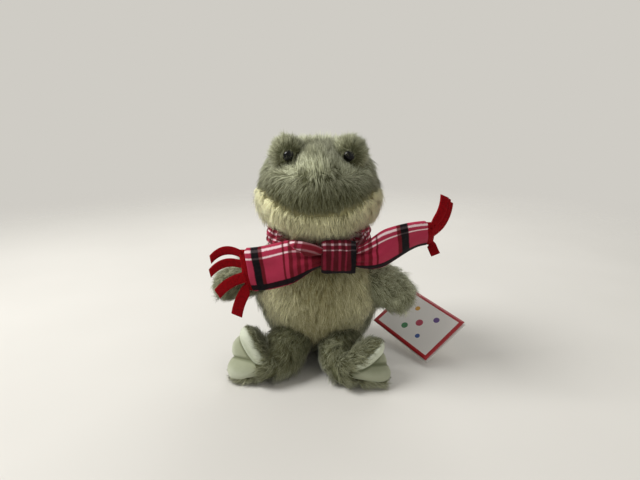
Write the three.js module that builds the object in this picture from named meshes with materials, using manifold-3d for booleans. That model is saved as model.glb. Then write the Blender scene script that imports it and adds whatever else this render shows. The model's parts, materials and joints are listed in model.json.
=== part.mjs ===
// A seated plush frog with a tartan scarf, felt fringes and a folded hang tag.
// Millimetres, +Z up. The frog faces -Y, its left is at +X, and the origin is the middle of its seat.
// Each fabric cover is a closed shell over its own stuffing. The arms and legs end in a ball that is
// sewn into a shallow socket of the body, and the head sits on a flat neck seam.
import * as THREE from "three";
import { mergeVertices } from "three/addons/utils/BufferGeometryUtils.js";
import Module from "manifold-3d";

const wasm = await Module();
wasm.setup();

// Driving sizes

const seam_gap = 0.35; // between pieces that touch
const socket_gap = 0.1; // between a limb's root ball and the nearest facets of its socket
const overrun = 40; // how far a cutting form runs past what it cuts
const pile_wall = 2.6; // thickness of a fur cover with its pressed pile
const floor_cut = 0.5; // how deep what stands on the floor is pressed flat
const facet_tolerance = 0.1; // facets that differ by less than this are joined

const torso = {
  height: 114,
  half_width: 53,
  front_depth: 45,
  back_depth: 42,
  seam_front: 17, // the belly panel starts this far in front of the middle
};
// Each row is a share of the height and the share of the width, front or back depth there.
const torso_width_shares = [[0, 0.47], [0.05, 0.59], [0.18, 0.75], [0.36, 0.91], [0.52, 1], [0.66, 0.98],
  [0.78, 0.86], [0.87, 0.71], [0.94, 0.61], [1, 0.55]];
const torso_front_shares = [[0, 0.1], [0.05, 0.25], [0.12, 0.44], [0.2, 0.62], [0.32, 0.82], [0.45, 0.95],
  [0.56, 1], [0.7, 0.95], [0.82, 0.8], [0.92, 0.66], [1, 0.6]];
const torso_back_shares = [[0, 0.6], [0.05, 0.74], [0.2, 0.94], [0.4, 1], [0.6, 0.98], [0.75, 0.88],
  [0.87, 0.74], [1, 0.58]];

const head = {
  height: 66,
  half_width: 50,
  front_depth: 55,
  back_depth: 39,
  muzzle_half_width: 16, // how wide the muzzle still stands out between the eyes
  neck_opening: 22,
  mouth_drop: 46, // from the crown down to the mouth line at the front
  mouth_rise: 17, // how much the mouth line climbs to the cheeks
  jaw_back: 10, // the jaw panel runs this far behind the middle
};
const head_width_shares = [[0, 0.81], [0.08, 0.91], [0.25, 0.98], [0.45, 1], [0.58, 0.93], [0.72, 0.85],
  [0.84, 0.76], [0.93, 0.6], [0.985, 0.32], [1, 0.2]];
const head_front_shares = [[0, 0.74], [0.08, 0.87], [0.25, 0.96], [0.45, 1], [0.58, 0.99], [0.72, 0.9],
  [0.84, 0.72], [0.93, 0.5], [0.985, 0.26], [1, 0.18]];
// The skull's front without the muzzle, as shares of the front depth.
const skull_front_shares = [[0, 0.74], [0.08, 0.87], [0.25, 0.95], [0.45, 0.97], [0.58, 0.87], [0.72, 0.57],
  [0.84, 0.33], [0.93, 0.22], [1, 0.12]];
const head_back_shares = [[0, 0.76], [0.08, 0.88], [0.25, 0.97], [0.45, 1], [0.7, 0.96], [0.84, 0.86],
  [0.93, 0.7], [0.985, 0.4], [1, 0.24]];

const eye_mound = {
  half_width: 13.5,
  half_depth: 14,
  half_height: 14.5,
  apart: 47,
  above_crown: 5,
  forward: 15,
};
const eye = { radius: 4.2, height: 3.4, shank_radius: 1.5, shank_length: 5.6, aside: 1.4 };
const eye_sunk_share = 0.3; // how much of the bead's height lies in the mound
const washer = { radius: 4, thickness: 1.2, stand_off: 3.1 };

// A limb runs from its root ball in the body to the middle of its round end.
const arms = {
  left: {
    azimuth: -22, below_neck: 39, sunk: 6, heading: -20, fall: 30,
    length: 25, root: 13.6, middle: 16, end: 14.6,
  },
  right: {
    azimuth: -158, below_neck: 36, sunk: 6, heading: 197, fall: 14,
    length: 33, root: 12.6, middle: 14.4, end: 12.6,
  },
};
const legs = {
  left: { azimuth: -46, hip: 24, sunk: 8, heading: -98, length: 26, root: 16.4, middle: 17.6, end: 15.4 },
  right: { azimuth: -133, hip: 24, sunk: 8, heading: -122, length: 28, root: 16.4, middle: 17.6, end: 15.6 },
};
const round_part_share = 0.92; // how far the round end of a limb closes before its flat tip facet
const limb_opening_share = 0.55; // the cover's mouth at the seam, as a share of the root ball
const arm_lift_range = 35;
const leg_lift_range = 20;

// A toe is a stuffed lobe. It leaves the heel at a heading and a slope, with its velour side turned the
// way `inward` points.
const toe_length = 45;
const toe_width = 24;
const toe_thickness = 14;
const toe_overlap_share = 0.24; // the share of a toe that lies in the heel
const toe_swell_shares = [[0, 0.5], [0.25, 0.8], [0.55, 1], [0.8, 0.95], [0.94, 0.68], [1, 0.36]];
const feet = {
  left: {
    heading: -64, reach: 14, heel_height: 12.5, heel_radius: 12.5,
    toes: [
      { heading: 10, slope: 37, length_share: 1.08, inward: [0.4, -0.45, -0.8] },
      { heading: 16, slope: 8, length_share: 1, inward: [0.1, -0.8, 0.55] },
      { heading: 2, slope: -7, length_share: 1.05, inward: [-0.05, -0.4, 0.9] },
    ],
  },
  right: {
    heading: -136, reach: 13, heel_height: 13.5, heel_radius: 12.5,
    toes: [
      { heading: 158, slope: 58, length_share: 1.02, inward: [-0.72, -0.62, 0.1] },
      { heading: 152, slope: 26, length_share: 0.96, inward: [-0.25, -0.85, 0.4] },
      { heading: 176, slope: -9, length_share: 0.92, inward: [-0.05, -0.5, 0.86] },
    ],
  },
};

const cloth = 2.4; // a folded thickness of the scarf's flannel
const scarf_band = { height: 17, half_width: 41.5, front_depth: 37.5, back_depth: 36, bulge: 1.4 };
const scarf_wrap = {
  length: 25,
  half_height: 12.2,
  half_depth: 6.8,
  wall: 1.8,
  aside: 14.5,
  waist: 0.8,
  below_chin: 2.6,
};
// Each tail ends higher or lower than the wrap by its climb, and its end leans back by an angle.
const scarf_tails = {
  left: {
    turn: 180, length: 66, height: 33, climb: -11.5, swing_back: 5, lean: 6,
    fold_depth: 1.5, folds: 2.2,
  },
  right: {
    turn: 0, length: 64, height: 31, climb: 16.5, swing_back: 6, lean: -42,
    fold_depth: 1.5, folds: 1.8,
  },
};
const tail_root_share = 0.52; // the tail's height inside the wrap, as a share of its full height
const tail_tuck_share = 0.44; // how much of the wrap each tail fills
const tail_open_shares = [0.1, 0.55]; // where along its length a tail opens to its full height
const tail_bend_shares = [0.15, 1]; // where it climbs, swings back and leans
const tail_flat_share = 0.85; // how much of the gathers is gone where it has opened

const felt = 1.4;
const strip_width = 6.4;
const strip_reach = 25; // the length of a long strip
const strip_turn_share = 0.33; // a strip has turned square to its own way by this share of its length
const fringe_hem = 2.2;
const fringe_inset_share = 0.03; // how far the comb stays inside the tail's edges
// Each strip starts at a share of the tail's end, counted from its top, and runs to a tip that is
// given in shares of a long strip's reach.
const fringe_shares = {
  left: [
    { from: 0.13, out: 0.96, up: -0.16, back: 0, arch: 0.2 },
    { from: 0.37, out: 1, up: -0.2, back: -0.08, arch: 0.2 },
    { from: 0.62, out: 0.84, up: -0.56, back: 0, arch: 0.1 },
    { from: 0.87, out: 0.36, up: -0.92, back: -0.08, arch: 0.06 },
  ],
  right: [
    { from: 0.2, out: 0.36, up: 0.88, back: 0.12, arch: -0.1 },
    { from: 0.36, out: 0.44, up: 0.96, back: 0.08, arch: -0.14 },
    { from: 0.52, out: 0.48, up: 1, back: 0.04, arch: -0.16 },
    { from: 0.87, out: 0.2, up: -0.36, back: -0.04, arch: 0 },
  ],
};

const pouch = { half_width: 19, half_depth: 15, height: 18, back: 11 };

const tag = {
  width: 48,
  length: 68,
  card: 0.6,
  spread: 2.6,
  fold_gap: 0.5,
  hole_radius: 2,
  hole_inset: 6,
  corner_x: 88,
  corner_y: -27,
  above_floor: 0.5,
  turn: -42.8,
  tilt: 33.3,
  spin: 73.8,
};
const fastener = {
  radius: 0.7,
  bar_radius: 1,
  bar_length: 9,
  azimuth: 24,
  height: 40,
  anchor_depth: 3.2,
  lead_out: 8,
  sag: 3,
};

// Small helpers

const vec = (x, y, z) => new THREE.Vector3(x, y, z);
const rad = THREE.MathUtils.degToRad;
const up = vec(0, 0, 1);
// A unit direction at a heading round the vertical and a slope above the level.
function bearing(heading, slope = 0) {
  const level = Math.cos(rad(slope));
  return vec(Math.cos(rad(heading)) * level, Math.sin(rad(heading)) * level, Math.sin(rad(slope)));
}

// A smooth curve (Catmull-Rom) through a table of [place, size] shares.
function along(shares, place) {
  const last = shares.length - 1;
  const at = Math.min(Math.max(place, 0), 1);
  let i = 0;
  while (i < last - 1 && at > shares[i + 1][0]) i += 1;
  const [x0, y0] = shares[i];
  const [x1, y1] = shares[i + 1];
  const slope = (k) => {
    const a = shares[Math.max(k - 1, 0)];
    const b = shares[Math.min(k + 1, last)];
    return (b[1] - a[1]) / (b[0] - a[0]);
  };
  const step = x1 - x0;
  const t = (at - x0) / step;
  const t2 = t * t;
  const t3 = t2 * t;
  return y0 * (2 * t3 - 3 * t2 + 1) + slope(i) * step * (t3 - 2 * t2 + t) + y1 * (3 * t2 - 2 * t3)
    + slope(i + 1) * step * (t3 - t2);
}

// Manifold solids and geometries, back and forth.
function solid(geometry) {
  const bare = geometry.clone();
  bare.deleteAttribute("normal");
  bare.deleteAttribute("uv");
  const merged = mergeVertices(bare);
  const mesh = new wasm.Mesh({
    numProp: 3,
    vertProperties: new Float32Array(merged.attributes.position.array),
    triVerts: new Uint32Array(merged.index.array),
  });
  return new wasm.Manifold(mesh);
}

function geometryOf(form) {
  const mesh = form.getMesh();
  const geometry = new THREE.BufferGeometry();
  geometry.setAttribute("position", new THREE.BufferAttribute(new Float32Array(mesh.vertProperties), 3));
  geometry.setIndex(new THREE.BufferAttribute(new Uint32Array(mesh.triVerts), 1));
  geometry.computeVertexNormals();
  return geometry;
}

// A closed form through rings of points, all with the same count, whose ends close on their middle.
function lofted(rings) {
  const sides = rings[0].length;
  const points = rings.flat();
  const faces = [];
  for (let r = 0; r < rings.length - 1; r += 1) {
    for (let s = 0; s < sides; s += 1) {
      const a = r * sides + s;
      const b = r * sides + ((s + 1) % sides);
      faces.push(a, b, b + sides, a, b + sides, a + sides);
    }
  }
  [0, rings.length - 1].forEach((r) => {
    const middle = points.length;
    points.push(rings[r].reduce((sum, p) => sum.add(p), vec(0, 0, 0)).divideScalar(sides));
    for (let s = 0; s < sides; s += 1) {
      const a = r * sides + s;
      const b = r * sides + ((s + 1) % sides);
      faces.push(...(r === 0 ? [middle, b, a] : [middle, a, b]));
    }
  });
  const geometry = new THREE.BufferGeometry().setFromPoints(points);
  geometry.setIndex(faces);
  const volume = faces.reduce((sum, _, k) => {
    if (k % 3) return sum;
    const [a, b, c] = [0, 1, 2].map((j) => points[faces[k + j]]);
    return sum + a.dot(b.clone().cross(c));
  }, 0);
  if (volume < 0) {
    const flipped = [];
    for (let k = 0; k < faces.length; k += 3) flipped.push(faces[k], faces[k + 2], faces[k + 1]);
    geometry.setIndex(flipped);
  }
  return solid(geometry);
}

// A level ring with its own width, front and back depth. `bump` stands out of the front's middle and
// dies away to the sides over `bump_width`.
function levelRing(z, width, front, back, sides, bump = 0, bump_width = 1) {
  return Array.from({ length: sides }, (_, s) => {
    const angle = (2 * Math.PI * s) / sides;
    const c = Math.cos(angle);
    const n = Math.sin(angle);
    const x = width * c;
    const stand_out = bump * Math.exp(-((x / bump_width) ** 2)) * Math.sqrt(Math.abs(n));
    return vec(x, n < 0 ? front * n - stand_out : back * n, z);
  });
}

// `halves` are the half sizes along `across`, `upward` and the third way square to both.
function ellipsoid(centre, across, upward, halves, segments, rows) {
  const geometry = new THREE.SphereGeometry(1, segments, rows);
  const third = across.clone().cross(upward);
  const basis = new THREE.Matrix4().makeBasis(
    across.clone().multiplyScalar(halves[0]),
    upward.clone().multiplyScalar(halves[1]),
    third.multiplyScalar(halves[2]),
  );
  geometry.applyMatrix4(basis.setPosition(centre));
  return solid(geometry);
}

const ball = (centre, radius, segments = 10, rows = 6) =>
  ellipsoid(centre, vec(1, 0, 0), up, [radius, radius, radius], segments, rows);

// A hollow whose flat facets all stay outside a ball of the given radius.
function ballRoom(centre, radius) {
  const segments = 16;
  const rows = 10;
  const nearest_facet_share = Math.cos(Math.PI / segments) * Math.cos(Math.PI / (2 * rows));
  return ball(centre, radius / nearest_facet_share, segments, rows);
}

// The half of space that `normal` points into, from `point` on, as a large block.
function halfSpace(point, normal) {
  const block = new THREE.BoxGeometry(overrun * 8, overrun * 8, overrun * 8);
  const turn = new THREE.Quaternion().setFromUnitVectors(up, normal.clone().normalize());
  const centre = point.clone().addScaledVector(normal.clone().normalize(), overrun * 4);
  block.applyMatrix4(new THREE.Matrix4().compose(centre, turn, vec(1, 1, 1)));
  return solid(block);
}

// A rod from one point to another.
function rod(from, to, radius, sides = 10) {
  const span = to.clone().sub(from);
  const geometry = new THREE.CylinderGeometry(radius, radius, span.length(), sides);
  const turn = new THREE.Quaternion().setFromUnitVectors(vec(0, 1, 0), span.clone().normalize());
  const middle = from.clone().add(to).multiplyScalar(0.5);
  geometry.applyMatrix4(new THREE.Matrix4().compose(middle, turn, vec(1, 1, 1)));
  return solid(geometry);
}

// A form turned about an axis through a pivot.
function turned(form, pivot, axis, degrees) {
  const m = new THREE.Matrix4().makeTranslation(pivot.x, pivot.y, pivot.z)
    .multiply(new THREE.Matrix4().makeRotationAxis(axis, rad(degrees)))
    .multiply(new THREE.Matrix4().makeTranslation(-pivot.x, -pivot.y, -pivot.z));
  return form.transform(m.elements.slice());
}

// The largest of a form's separate bodies, without the scraps that a trim leaves.
const largest = (form) => form.decompose().sort((a, b) => b.volume() - a.volume())[0];

const frog = new THREE.Group();

const finishes = {
  green_fur: { color: 0x8f9877, roughness: 0.95, metalness: 0 },
  cream_fur: { color: 0xc4c192, roughness: 0.95, metalness: 0 },
  velour: { color: 0xc3cba6, roughness: 0.85, metalness: 0 },
  flannel: { color: 0xa33048, roughness: 0.9, metalness: 0 },
  felt: { color: 0x8c0a12, roughness: 0.95, metalness: 0 },
  bead: { color: 0x0a0a0a, roughness: 0.12, metalness: 0 },
  moulded_nylon: { color: 0xe6e6e2, roughness: 0.5, metalness: 0 },
  fibre_fill: { color: 0xf2f1ec, roughness: 1, metalness: 0 },
  pouch_cloth: { color: 0xd8d6cc, roughness: 0.9, metalness: 0 },
  card: { color: 0xe8e5e0, roughness: 0.6, metalness: 0 },
};

function place(name, form, finish, parent = frog) {
  const geometry = geometryOf(form.simplify(facet_tolerance));
  const mesh = new THREE.Mesh(geometry, new THREE.MeshStandardMaterial(finishes[finish]));
  mesh.name = name;
  parent.add(mesh);
}

// Body

const torso_sides = 24;
const torso_place_shares = [0, 0.05, 0.14, 0.27, 0.43, 0.58, 0.7, 0.8, 0.9, 1];
const coarse_sides = 14;
const coarse_place_shares = [0, 0.05, 0.27, 0.58, 0.8, 1];
const coarse_sag = 2.3; // how far a coarse side falls short of the true curve
const torsoWidthAt = (z) => torso.half_width * along(torso_width_shares, z / torso.height);
const torsoFrontAt = (z) => torso.front_depth * along(torso_front_shares, z / torso.height);
const torsoBackAt = (z) => torso.back_depth * along(torso_back_shares, z / torso.height);

// The torso's form, grown outwards by `grow`; `above` adds a straight neck on top of it.
function torsoForm(grow, above = 0, sides = torso_sides, place_shares = torso_place_shares) {
  const rings = place_shares.map((place_share) => {
    const z = place_share * (torso.height + floor_cut) - floor_cut;
    const ring_z = z + grow * (above > 0 ? place_share - 1 : 2 * place_share - 1);
    return levelRing(ring_z, torsoWidthAt(z) + grow, torsoFrontAt(z) + grow, torsoBackAt(z) + grow, sides);
  });
  if (above > 0) {
    const top = rings.at(-1).map((p) => p.clone().setZ(torso.height + above));
    rings.push(top);
  }
  return lofted(rings);
}

// A point on the torso's surface at an azimuth and a height, sunk inwards, level.
function onTorso(azimuth, z, sunk = 0) {
  const c = Math.cos(rad(azimuth));
  const n = Math.sin(rad(azimuth));
  const depth = n < 0 ? torsoFrontAt(z) : torsoBackAt(z);
  const reach = 1 / Math.hypot(c / torsoWidthAt(z), n / depth);
  return vec(c * (reach - sunk), n * (reach - sunk), z);
}

const floor = halfSpace(vec(0, 0, 0), vec(0, 0, 1));
const arm_axes = { left: vec(0, -1, 0), right: vec(0, 1, 0) };
const leg_axis = vec(-1, 0, 0);

const armPivot = (side) => onTorso(arms[side].azimuth, torso.height - arms[side].below_neck, arms[side].sunk);
const legPivot = (side) => onTorso(legs[side].azimuth, legs[side].hip, legs[side].sunk);
const sides_of_body = ["left", "right"];
const mouth_sides = 14;

// Limbs

// A limb's round tube, whose radius swells from the root to the middle and tapers to the end.
function limbTube(pivot, direction, limb, grow, rows = 4, sides = 12) {
  const across = direction.clone().cross(up).normalize();
  const deep = across.clone().cross(direction).normalize();
  const ringAt = (distance, radius) => Array.from({ length: sides }, (_, s) => {
    const angle = (2 * Math.PI * s) / sides;
    return pivot.clone().addScaledVector(direction, distance)
      .addScaledVector(across, radius * Math.cos(angle)).addScaledVector(deep, radius * Math.sin(angle));
  });
  const rings = [];
  for (let r = 0; r <= rows; r += 1) {
    const t = r / rows;
    const swell = limb.root * (1 - t) * (1 - 2 * t) + limb.middle * 4 * t * (1 - t)
      + limb.end * t * (2 * t - 1);
    rings.push(ringAt(limb.length * t, swell + grow));
  }
  const round_steps = 3;
  const round = limb.end + grow;
  for (let r = 1; r <= round_steps; r += 1) {
    const angle = (Math.PI / 2) * (r / round_steps) * round_part_share;
    rings.push(ringAt(limb.length + round * Math.sin(angle), round * Math.cos(angle)));
  }
  return lofted(rings);
}

// The tube is trimmed by the torso at each stage of its swing, and the root ball stays whole.
function limbForm(pivot, direction, limb, axis, range, grow, back_off) {
  let tube = limbTube(pivot, direction, limb, grow);
  const keep_off = torsoForm(seam_gap + coarse_sag + back_off, 0, coarse_sides, coarse_place_shares);
  [0, 1].forEach((stage) => {
    tube = tube.subtract(turned(keep_off, pivot, axis, -range * stage));
  });
  return largest(tube.add(ball(pivot, limb.root + grow)));
}

// A limb's cover and stuffing, with the cover's mouth open towards the middle of the body.
function coverAndStuffing(pivot, direction, limb, axis, range) {
  const outer = limbForm(pivot, direction, limb, axis, range, 0, 0).intersect(floor);
  const hollow = limbForm(pivot, direction, limb, axis, range, -pile_wall, -seam_gap);
  const inside = limbForm(pivot, direction, limb, axis, range, -pile_wall - seam_gap, 0);
  const inward = vec(-pivot.x, -pivot.y, 0).normalize();
  const clear_of_limb = pivot.clone().addScaledVector(inward, limb.root * 2);
  const mouth = rod(pivot, clear_of_limb, limb.root * limb_opening_share, mouth_sides);
  return { cover: outer.subtract(hollow).subtract(mouth), stuffing: inside };
}

const limb_forms = { arm: {}, leg: {} };
sides_of_body.forEach((side) => {
  const arm = arms[side];
  const arm_way = bearing(arm.heading, -arm.fall);
  limb_forms.arm[side] = coverAndStuffing(armPivot(side), arm_way, arm, arm_axes[side], arm_lift_range);
  const leg = legs[side];
  const pivot = legPivot(side);
  // The leg comes down so that its end is pressed on the floor.
  const fall = THREE.MathUtils.radToDeg(Math.asin((pivot.z - (leg.end - floor_cut)) / leg.length));
  const leg_way = bearing(leg.heading, -fall);
  limb_forms.leg[side] = coverAndStuffing(pivot, leg_way, leg, leg_axis, leg_lift_range);
  limb_forms.leg[side].ankle = pivot.clone().addScaledVector(leg_way, leg.length);
});

// Feet

// A toe's lobe is an oval tube that swells towards its blunt tip. It is later split along its middle
// into a velour half and a fur half.
const toe_ring_shares = [0, 0.2, 0.45, 0.68, 0.85, 0.96, 1];
const toe_sides = 10;
function toeLobe(heel, toe, grow) {
  const way = bearing(toe.heading, toe.slope);
  const inward = vec(...toe.inward);
  inward.addScaledVector(way, -inward.dot(way)).normalize();
  const across = way.clone().cross(inward);
  const length = toe_length * toe.length_share;
  const start = heel.clone().addScaledVector(way, -length * toe_overlap_share);
  const rings = toe_ring_shares.map((share) => {
    const swell = along(toe_swell_shares, share);
    const place = share * length + grow * (2 * share - 1);
    return Array.from({ length: toe_sides }, (_, s) => {
      const angle = (2 * Math.PI * s) / toe_sides;
      return start.clone().addScaledVector(way, place)
        .addScaledVector(across, ((toe_width / 2) * swell + grow) * Math.cos(angle))
        .addScaledVector(inward, ((toe_thickness / 2) * swell + grow) * Math.sin(angle));
    });
  });
  return { start, inward, form: lofted(rings) };
}

const foot_forms = {};
sides_of_body.forEach((side) => {
  const foot = feet[side];
  const ankle = limb_forms.leg[side].ankle;
  const heel = ankle.clone().addScaledVector(bearing(foot.heading), foot.reach).setZ(foot.heel_height);
  const hip = legPivot(side);
  const leg_room = limbTube(hip, ankle.clone().sub(hip).normalize(), legs[side], seam_gap);
  let fur = ball(heel, foot.heel_radius, 12, 6);
  let velour = null;
  let velour_room = null;
  foot.toes.forEach((toe) => {
    const lobe = toeLobe(heel, toe, 0);
    const room = toeLobe(heel, toe, seam_gap);
    const face = halfSpace(lobe.start, lobe.inward);
    const face_room = halfSpace(lobe.start.clone().addScaledVector(lobe.inward, -seam_gap), lobe.inward);
    const half = lobe.form.intersect(face);
    const half_room = room.form.intersect(face_room);
    fur = fur.add(lobe.form.subtract(face_room));
    velour = velour ? velour.add(half) : half;
    velour_room = velour_room ? velour_room.add(half_room) : half_room;
  });
  foot_forms[side] = {
    top: fur.subtract(velour_room).subtract(leg_room).intersect(floor),
    sole: velour.subtract(leg_room).intersect(floor),
  };
});

// Body panels, stuffing and pouch

const torso_outer = torsoForm(0);
const torso_hollow = torsoForm(-pile_wall, overrun);
const core_place_shares = [0, 0.05, 0.27, 0.58, 0.8, 0.9, 1];
let torso_inside = torsoForm(-pile_wall - seam_gap * 2, 0, torso_sides / 2, core_place_shares);
let sockets = null;
sides_of_body.forEach((side) => {
  const arm_socket = ballRoom(armPivot(side), arms[side].root + socket_gap);
  const leg_socket = ballRoom(legPivot(side), legs[side].root + socket_gap);
  sockets = sockets ? sockets.add(arm_socket) : arm_socket;
  sockets = sockets.add(leg_socket);
});
const torso_shell = torso_outer.subtract(torso_hollow).subtract(sockets).intersect(floor);
const front = (offset) => halfSpace(vec(0, -torso.seam_front - offset, 0), vec(0, -1, 0));

// Pellet pouch, a flattened bag at the bottom of the stuffing
function pouchForm(grow) {
  const base = pile_wall + seam_gap;
  const shape = ellipsoid(vec(0, pouch.back, base), vec(1, 0, 0), up,
    [pouch.half_width + grow, pouch.height + grow, pouch.half_depth + grow], 14, 8);
  return shape.intersect(halfSpace(vec(0, 0, base - grow * 2), up));
}
torso_inside = torso_inside.subtract(sockets).subtract(pouchForm(seam_gap));

// Tag fastener: a nylon thread from a bar behind the side seam to a bar behind the card

const tag_turn = new THREE.Matrix4().makeRotationZ(rad(tag.turn))
  .multiply(new THREE.Matrix4().makeRotationX(rad(tag.tilt)))
  .multiply(new THREE.Matrix4().makeRotationZ(rad(tag.spin)));
const tag_across = vec(1, 0, 0).applyMatrix4(tag_turn);
const tag_along = vec(0, 1, 0).applyMatrix4(tag_turn);
const tag_face = vec(0, 0, 1).applyMatrix4(tag_turn);
// The back leaf's corner is the lowest point of the card.
const tag_drop = (tag.spread + tag.card) * tag_face.z + tag.card * 2;
const tag_corner = vec(tag.corner_x, tag.corner_y, tag.above_floor + tag_drop);
const tag_hole = tag_corner.clone().addScaledVector(tag_across, tag.width / 2)
  .addScaledVector(tag_along, tag.length - tag.hole_inset);
const tag_pack = tag.card * 2 + tag.fold_gap; // thickness of the folded card at its fold

const bar_sides = 8;
const thread_steps = 14;
function fastenerForm(grow) {
  const root = onTorso(fastener.azimuth, fastener.height, fastener.anchor_depth);
  const outward = bearing(fastener.azimuth);
  const end = tag_hole.clone().addScaledVector(tag_face, -tag_pack - fastener.bar_radius - seam_gap * 2);
  const leaving = root.clone().addScaledVector(outward, fastener.lead_out);
  const over = tag_hole.clone().addScaledVector(tag_face, fastener.bar_length / 2);
  const middle = leaving.clone().add(over).multiplyScalar(0.5).addScaledVector(up, -fastener.sag);
  const path = new THREE.CatmullRomCurve3([root, leaving, middle, over, tag_hole.clone(), end]);
  const section = new THREE.Shape().absarc(0, 0, fastener.radius + grow, 0, 2 * Math.PI);
  const settings = { steps: thread_steps, curveSegments: 4, extrudePath: path };
  const thread = new THREE.ExtrudeGeometry(section, settings);
  const half = fastener.bar_length / 2 + grow;
  const bar = (middle_at, way) => rod(middle_at.clone().addScaledVector(way, -half),
    middle_at.clone().addScaledVector(way, half), fastener.bar_radius + grow, bar_sides);
  return solid(thread).add(bar(root, up)).add(bar(end, tag_across));
}
const fastener_room = fastenerForm(seam_gap);

place("belly_panel", torso_shell.intersect(front(seam_gap / 2)), "cream_fur");
place("back_panel", torso_shell.subtract(front(-seam_gap / 2)).subtract(fastener_room), "green_fur");
place("body_stuffing", torso_inside.subtract(fastener_room), "fibre_fill");
// The pouch lies against the inside of the covers, and the stuffing closes over it.
const pouch_form = pouchForm(0).intersect(torsoForm(-pile_wall - seam_gap)).subtract(sockets);
place("pellet_pouch", pouch_form, "pouch_cloth");
place("tag_fastener", fastenerForm(0), "moulded_nylon");

// Scarf

// A closed slab of cloth: `middle(u, v)` is its middle surface and `thick(u)` its thickness.
function clothSlab(middle, thick, steps_u, steps_v) {
  const small = 0.001;
  const rings = Array.from({ length: steps_u + 1 }, (_, i) => {
    const u = i / steps_u;
    const edge = (side) => Array.from({ length: steps_v + 1 }, (__, j) => {
      const v = j / steps_v;
      const along_u = middle(Math.min(u + small, 1), v).sub(middle(Math.max(u - small, 0), v));
      const along_v = middle(u, Math.min(v + small, 1)).sub(middle(u, Math.max(v - small, 0)));
      return middle(u, v).addScaledVector(along_u.cross(along_v).normalize(), (side * thick(u)) / 2);
    });
    return [...edge(1), ...edge(-1).reverse()];
  });
  return lofted(rings);
}

const band_bottom = torso.height - scarf_band.height;
// The gathered band fills the neck out to a collar that hardly narrows towards the chin.
const band_place_shares = [0, 0.5, 1];
function bandOut(z, least_size, torso_size) {
  const share = (z - band_bottom) / scarf_band.height;
  return Math.max(least_size, torso_size + seam_gap + cloth) + scarf_band.bulge * 4 * share * (1 - share);
}
const bandFrontAt = (z) => bandOut(z, scarf_band.front_depth, torsoFrontAt(z));
const band_form = lofted(band_place_shares.map((share) => {
  const z = band_bottom + share * (scarf_band.height - seam_gap);
  return levelRing(z, bandOut(z, scarf_band.half_width, torsoWidthAt(z)), bandFrontAt(z),
    bandOut(z, scarf_band.back_depth, torsoBackAt(z)), torso_sides);
}));
place("scarf_neck_band", band_form.subtract(torsoForm(seam_gap, overrun)), "flannel");

// The wrap is a short sleeve round both tails, in front of the band.
const wrap_z = torso.height - scarf_wrap.below_chin - scarf_wrap.half_height;
// Its round back is pushed against the band and the chest at whichever height stands out the most.
const wrap_seat_shares = [-1, -0.8, -0.6, -0.4, -0.2, 0, 0.2, 0.4, 0.6, 0.8, 1];
const wrap_forward = Math.max(...wrap_seat_shares.map((share) => {
  const z = wrap_z + share * scarf_wrap.half_height;
  const seat = z < band_bottom ? torsoFrontAt(z) : bandFrontAt(z);
  return seat + scarf_wrap.half_depth * Math.sqrt(1 - share * share);
}));
const wrap_centre = vec(scarf_wrap.aside, -wrap_forward - seam_gap, wrap_z);
const sleeve_sides = 18;
const sleeve_shares = [0, 0.25, 0.5, 0.75, 1];
// The sleeve is drawn in at its middle by the waist, and half as much from front to back.
function sleeve(grow, length, waist) {
  return lofted(sleeve_shares.map((share) => {
    const drawn = waist * 4 * share * (1 - share);
    return Array.from({ length: sleeve_sides }, (_, s) => {
      const angle = (2 * Math.PI * s) / sleeve_sides;
      return wrap_centre.clone().add(vec(
        length * (share - 0.5),
        (scarf_wrap.half_depth + grow - drawn / 2) * Math.cos(angle),
        (scarf_wrap.half_height + grow - drawn) * Math.sin(angle),
      ));
    });
  }));
}
const wrap_bore = sleeve(-scarf_wrap.wall, scarf_wrap.length + overrun, 0)
  .intersect(sleeve(-scarf_wrap.wall, scarf_wrap.length * 2, scarf_wrap.waist));
place("scarf_wrap", sleeve(0, scarf_wrap.length, scarf_wrap.waist).subtract(wrap_bore), "flannel");

// A tail leaves the wrap in gathers, which open out as it widens towards its end.
function tailMiddle(tail) {
  const way = Math.cos(rad(tail.turn));
  const bore_height = 2 * (scarf_wrap.half_height - scarf_wrap.wall - scarf_wrap.waist);
  const root_height = Math.min(bore_height - cloth * 2, tail.height * tail_root_share);
  const tuck = scarf_wrap.length * (0.5 - tail_tuck_share);
  const climb_angle = Math.atan2(tail.climb, tail.length);
  return (u, v) => {
    const open = THREE.MathUtils.smoothstep(u, ...tail_open_shares);
    const bend = THREE.MathUtils.smoothstep(u, ...tail_bend_shares);
    const lean = rad(tail.lean) * bend;
    const off = (v - 0.5) * THREE.MathUtils.lerp(root_height, tail.height, open);
    const wave = tail.fold_depth * (1 - tail_flat_share * open) * Math.sin(2 * Math.PI * tail.folds * v);
    return vec(
      wrap_centre.x + way * (tuck + tail.length * u - off * Math.cos(lean) * Math.sin(climb_angle) * bend),
      wrap_centre.y + tail.swing_back * bend + off * Math.sin(lean) + wave,
      wrap_centre.z + tail.climb * bend + off * Math.cos(lean),
    );
  };
}

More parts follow.
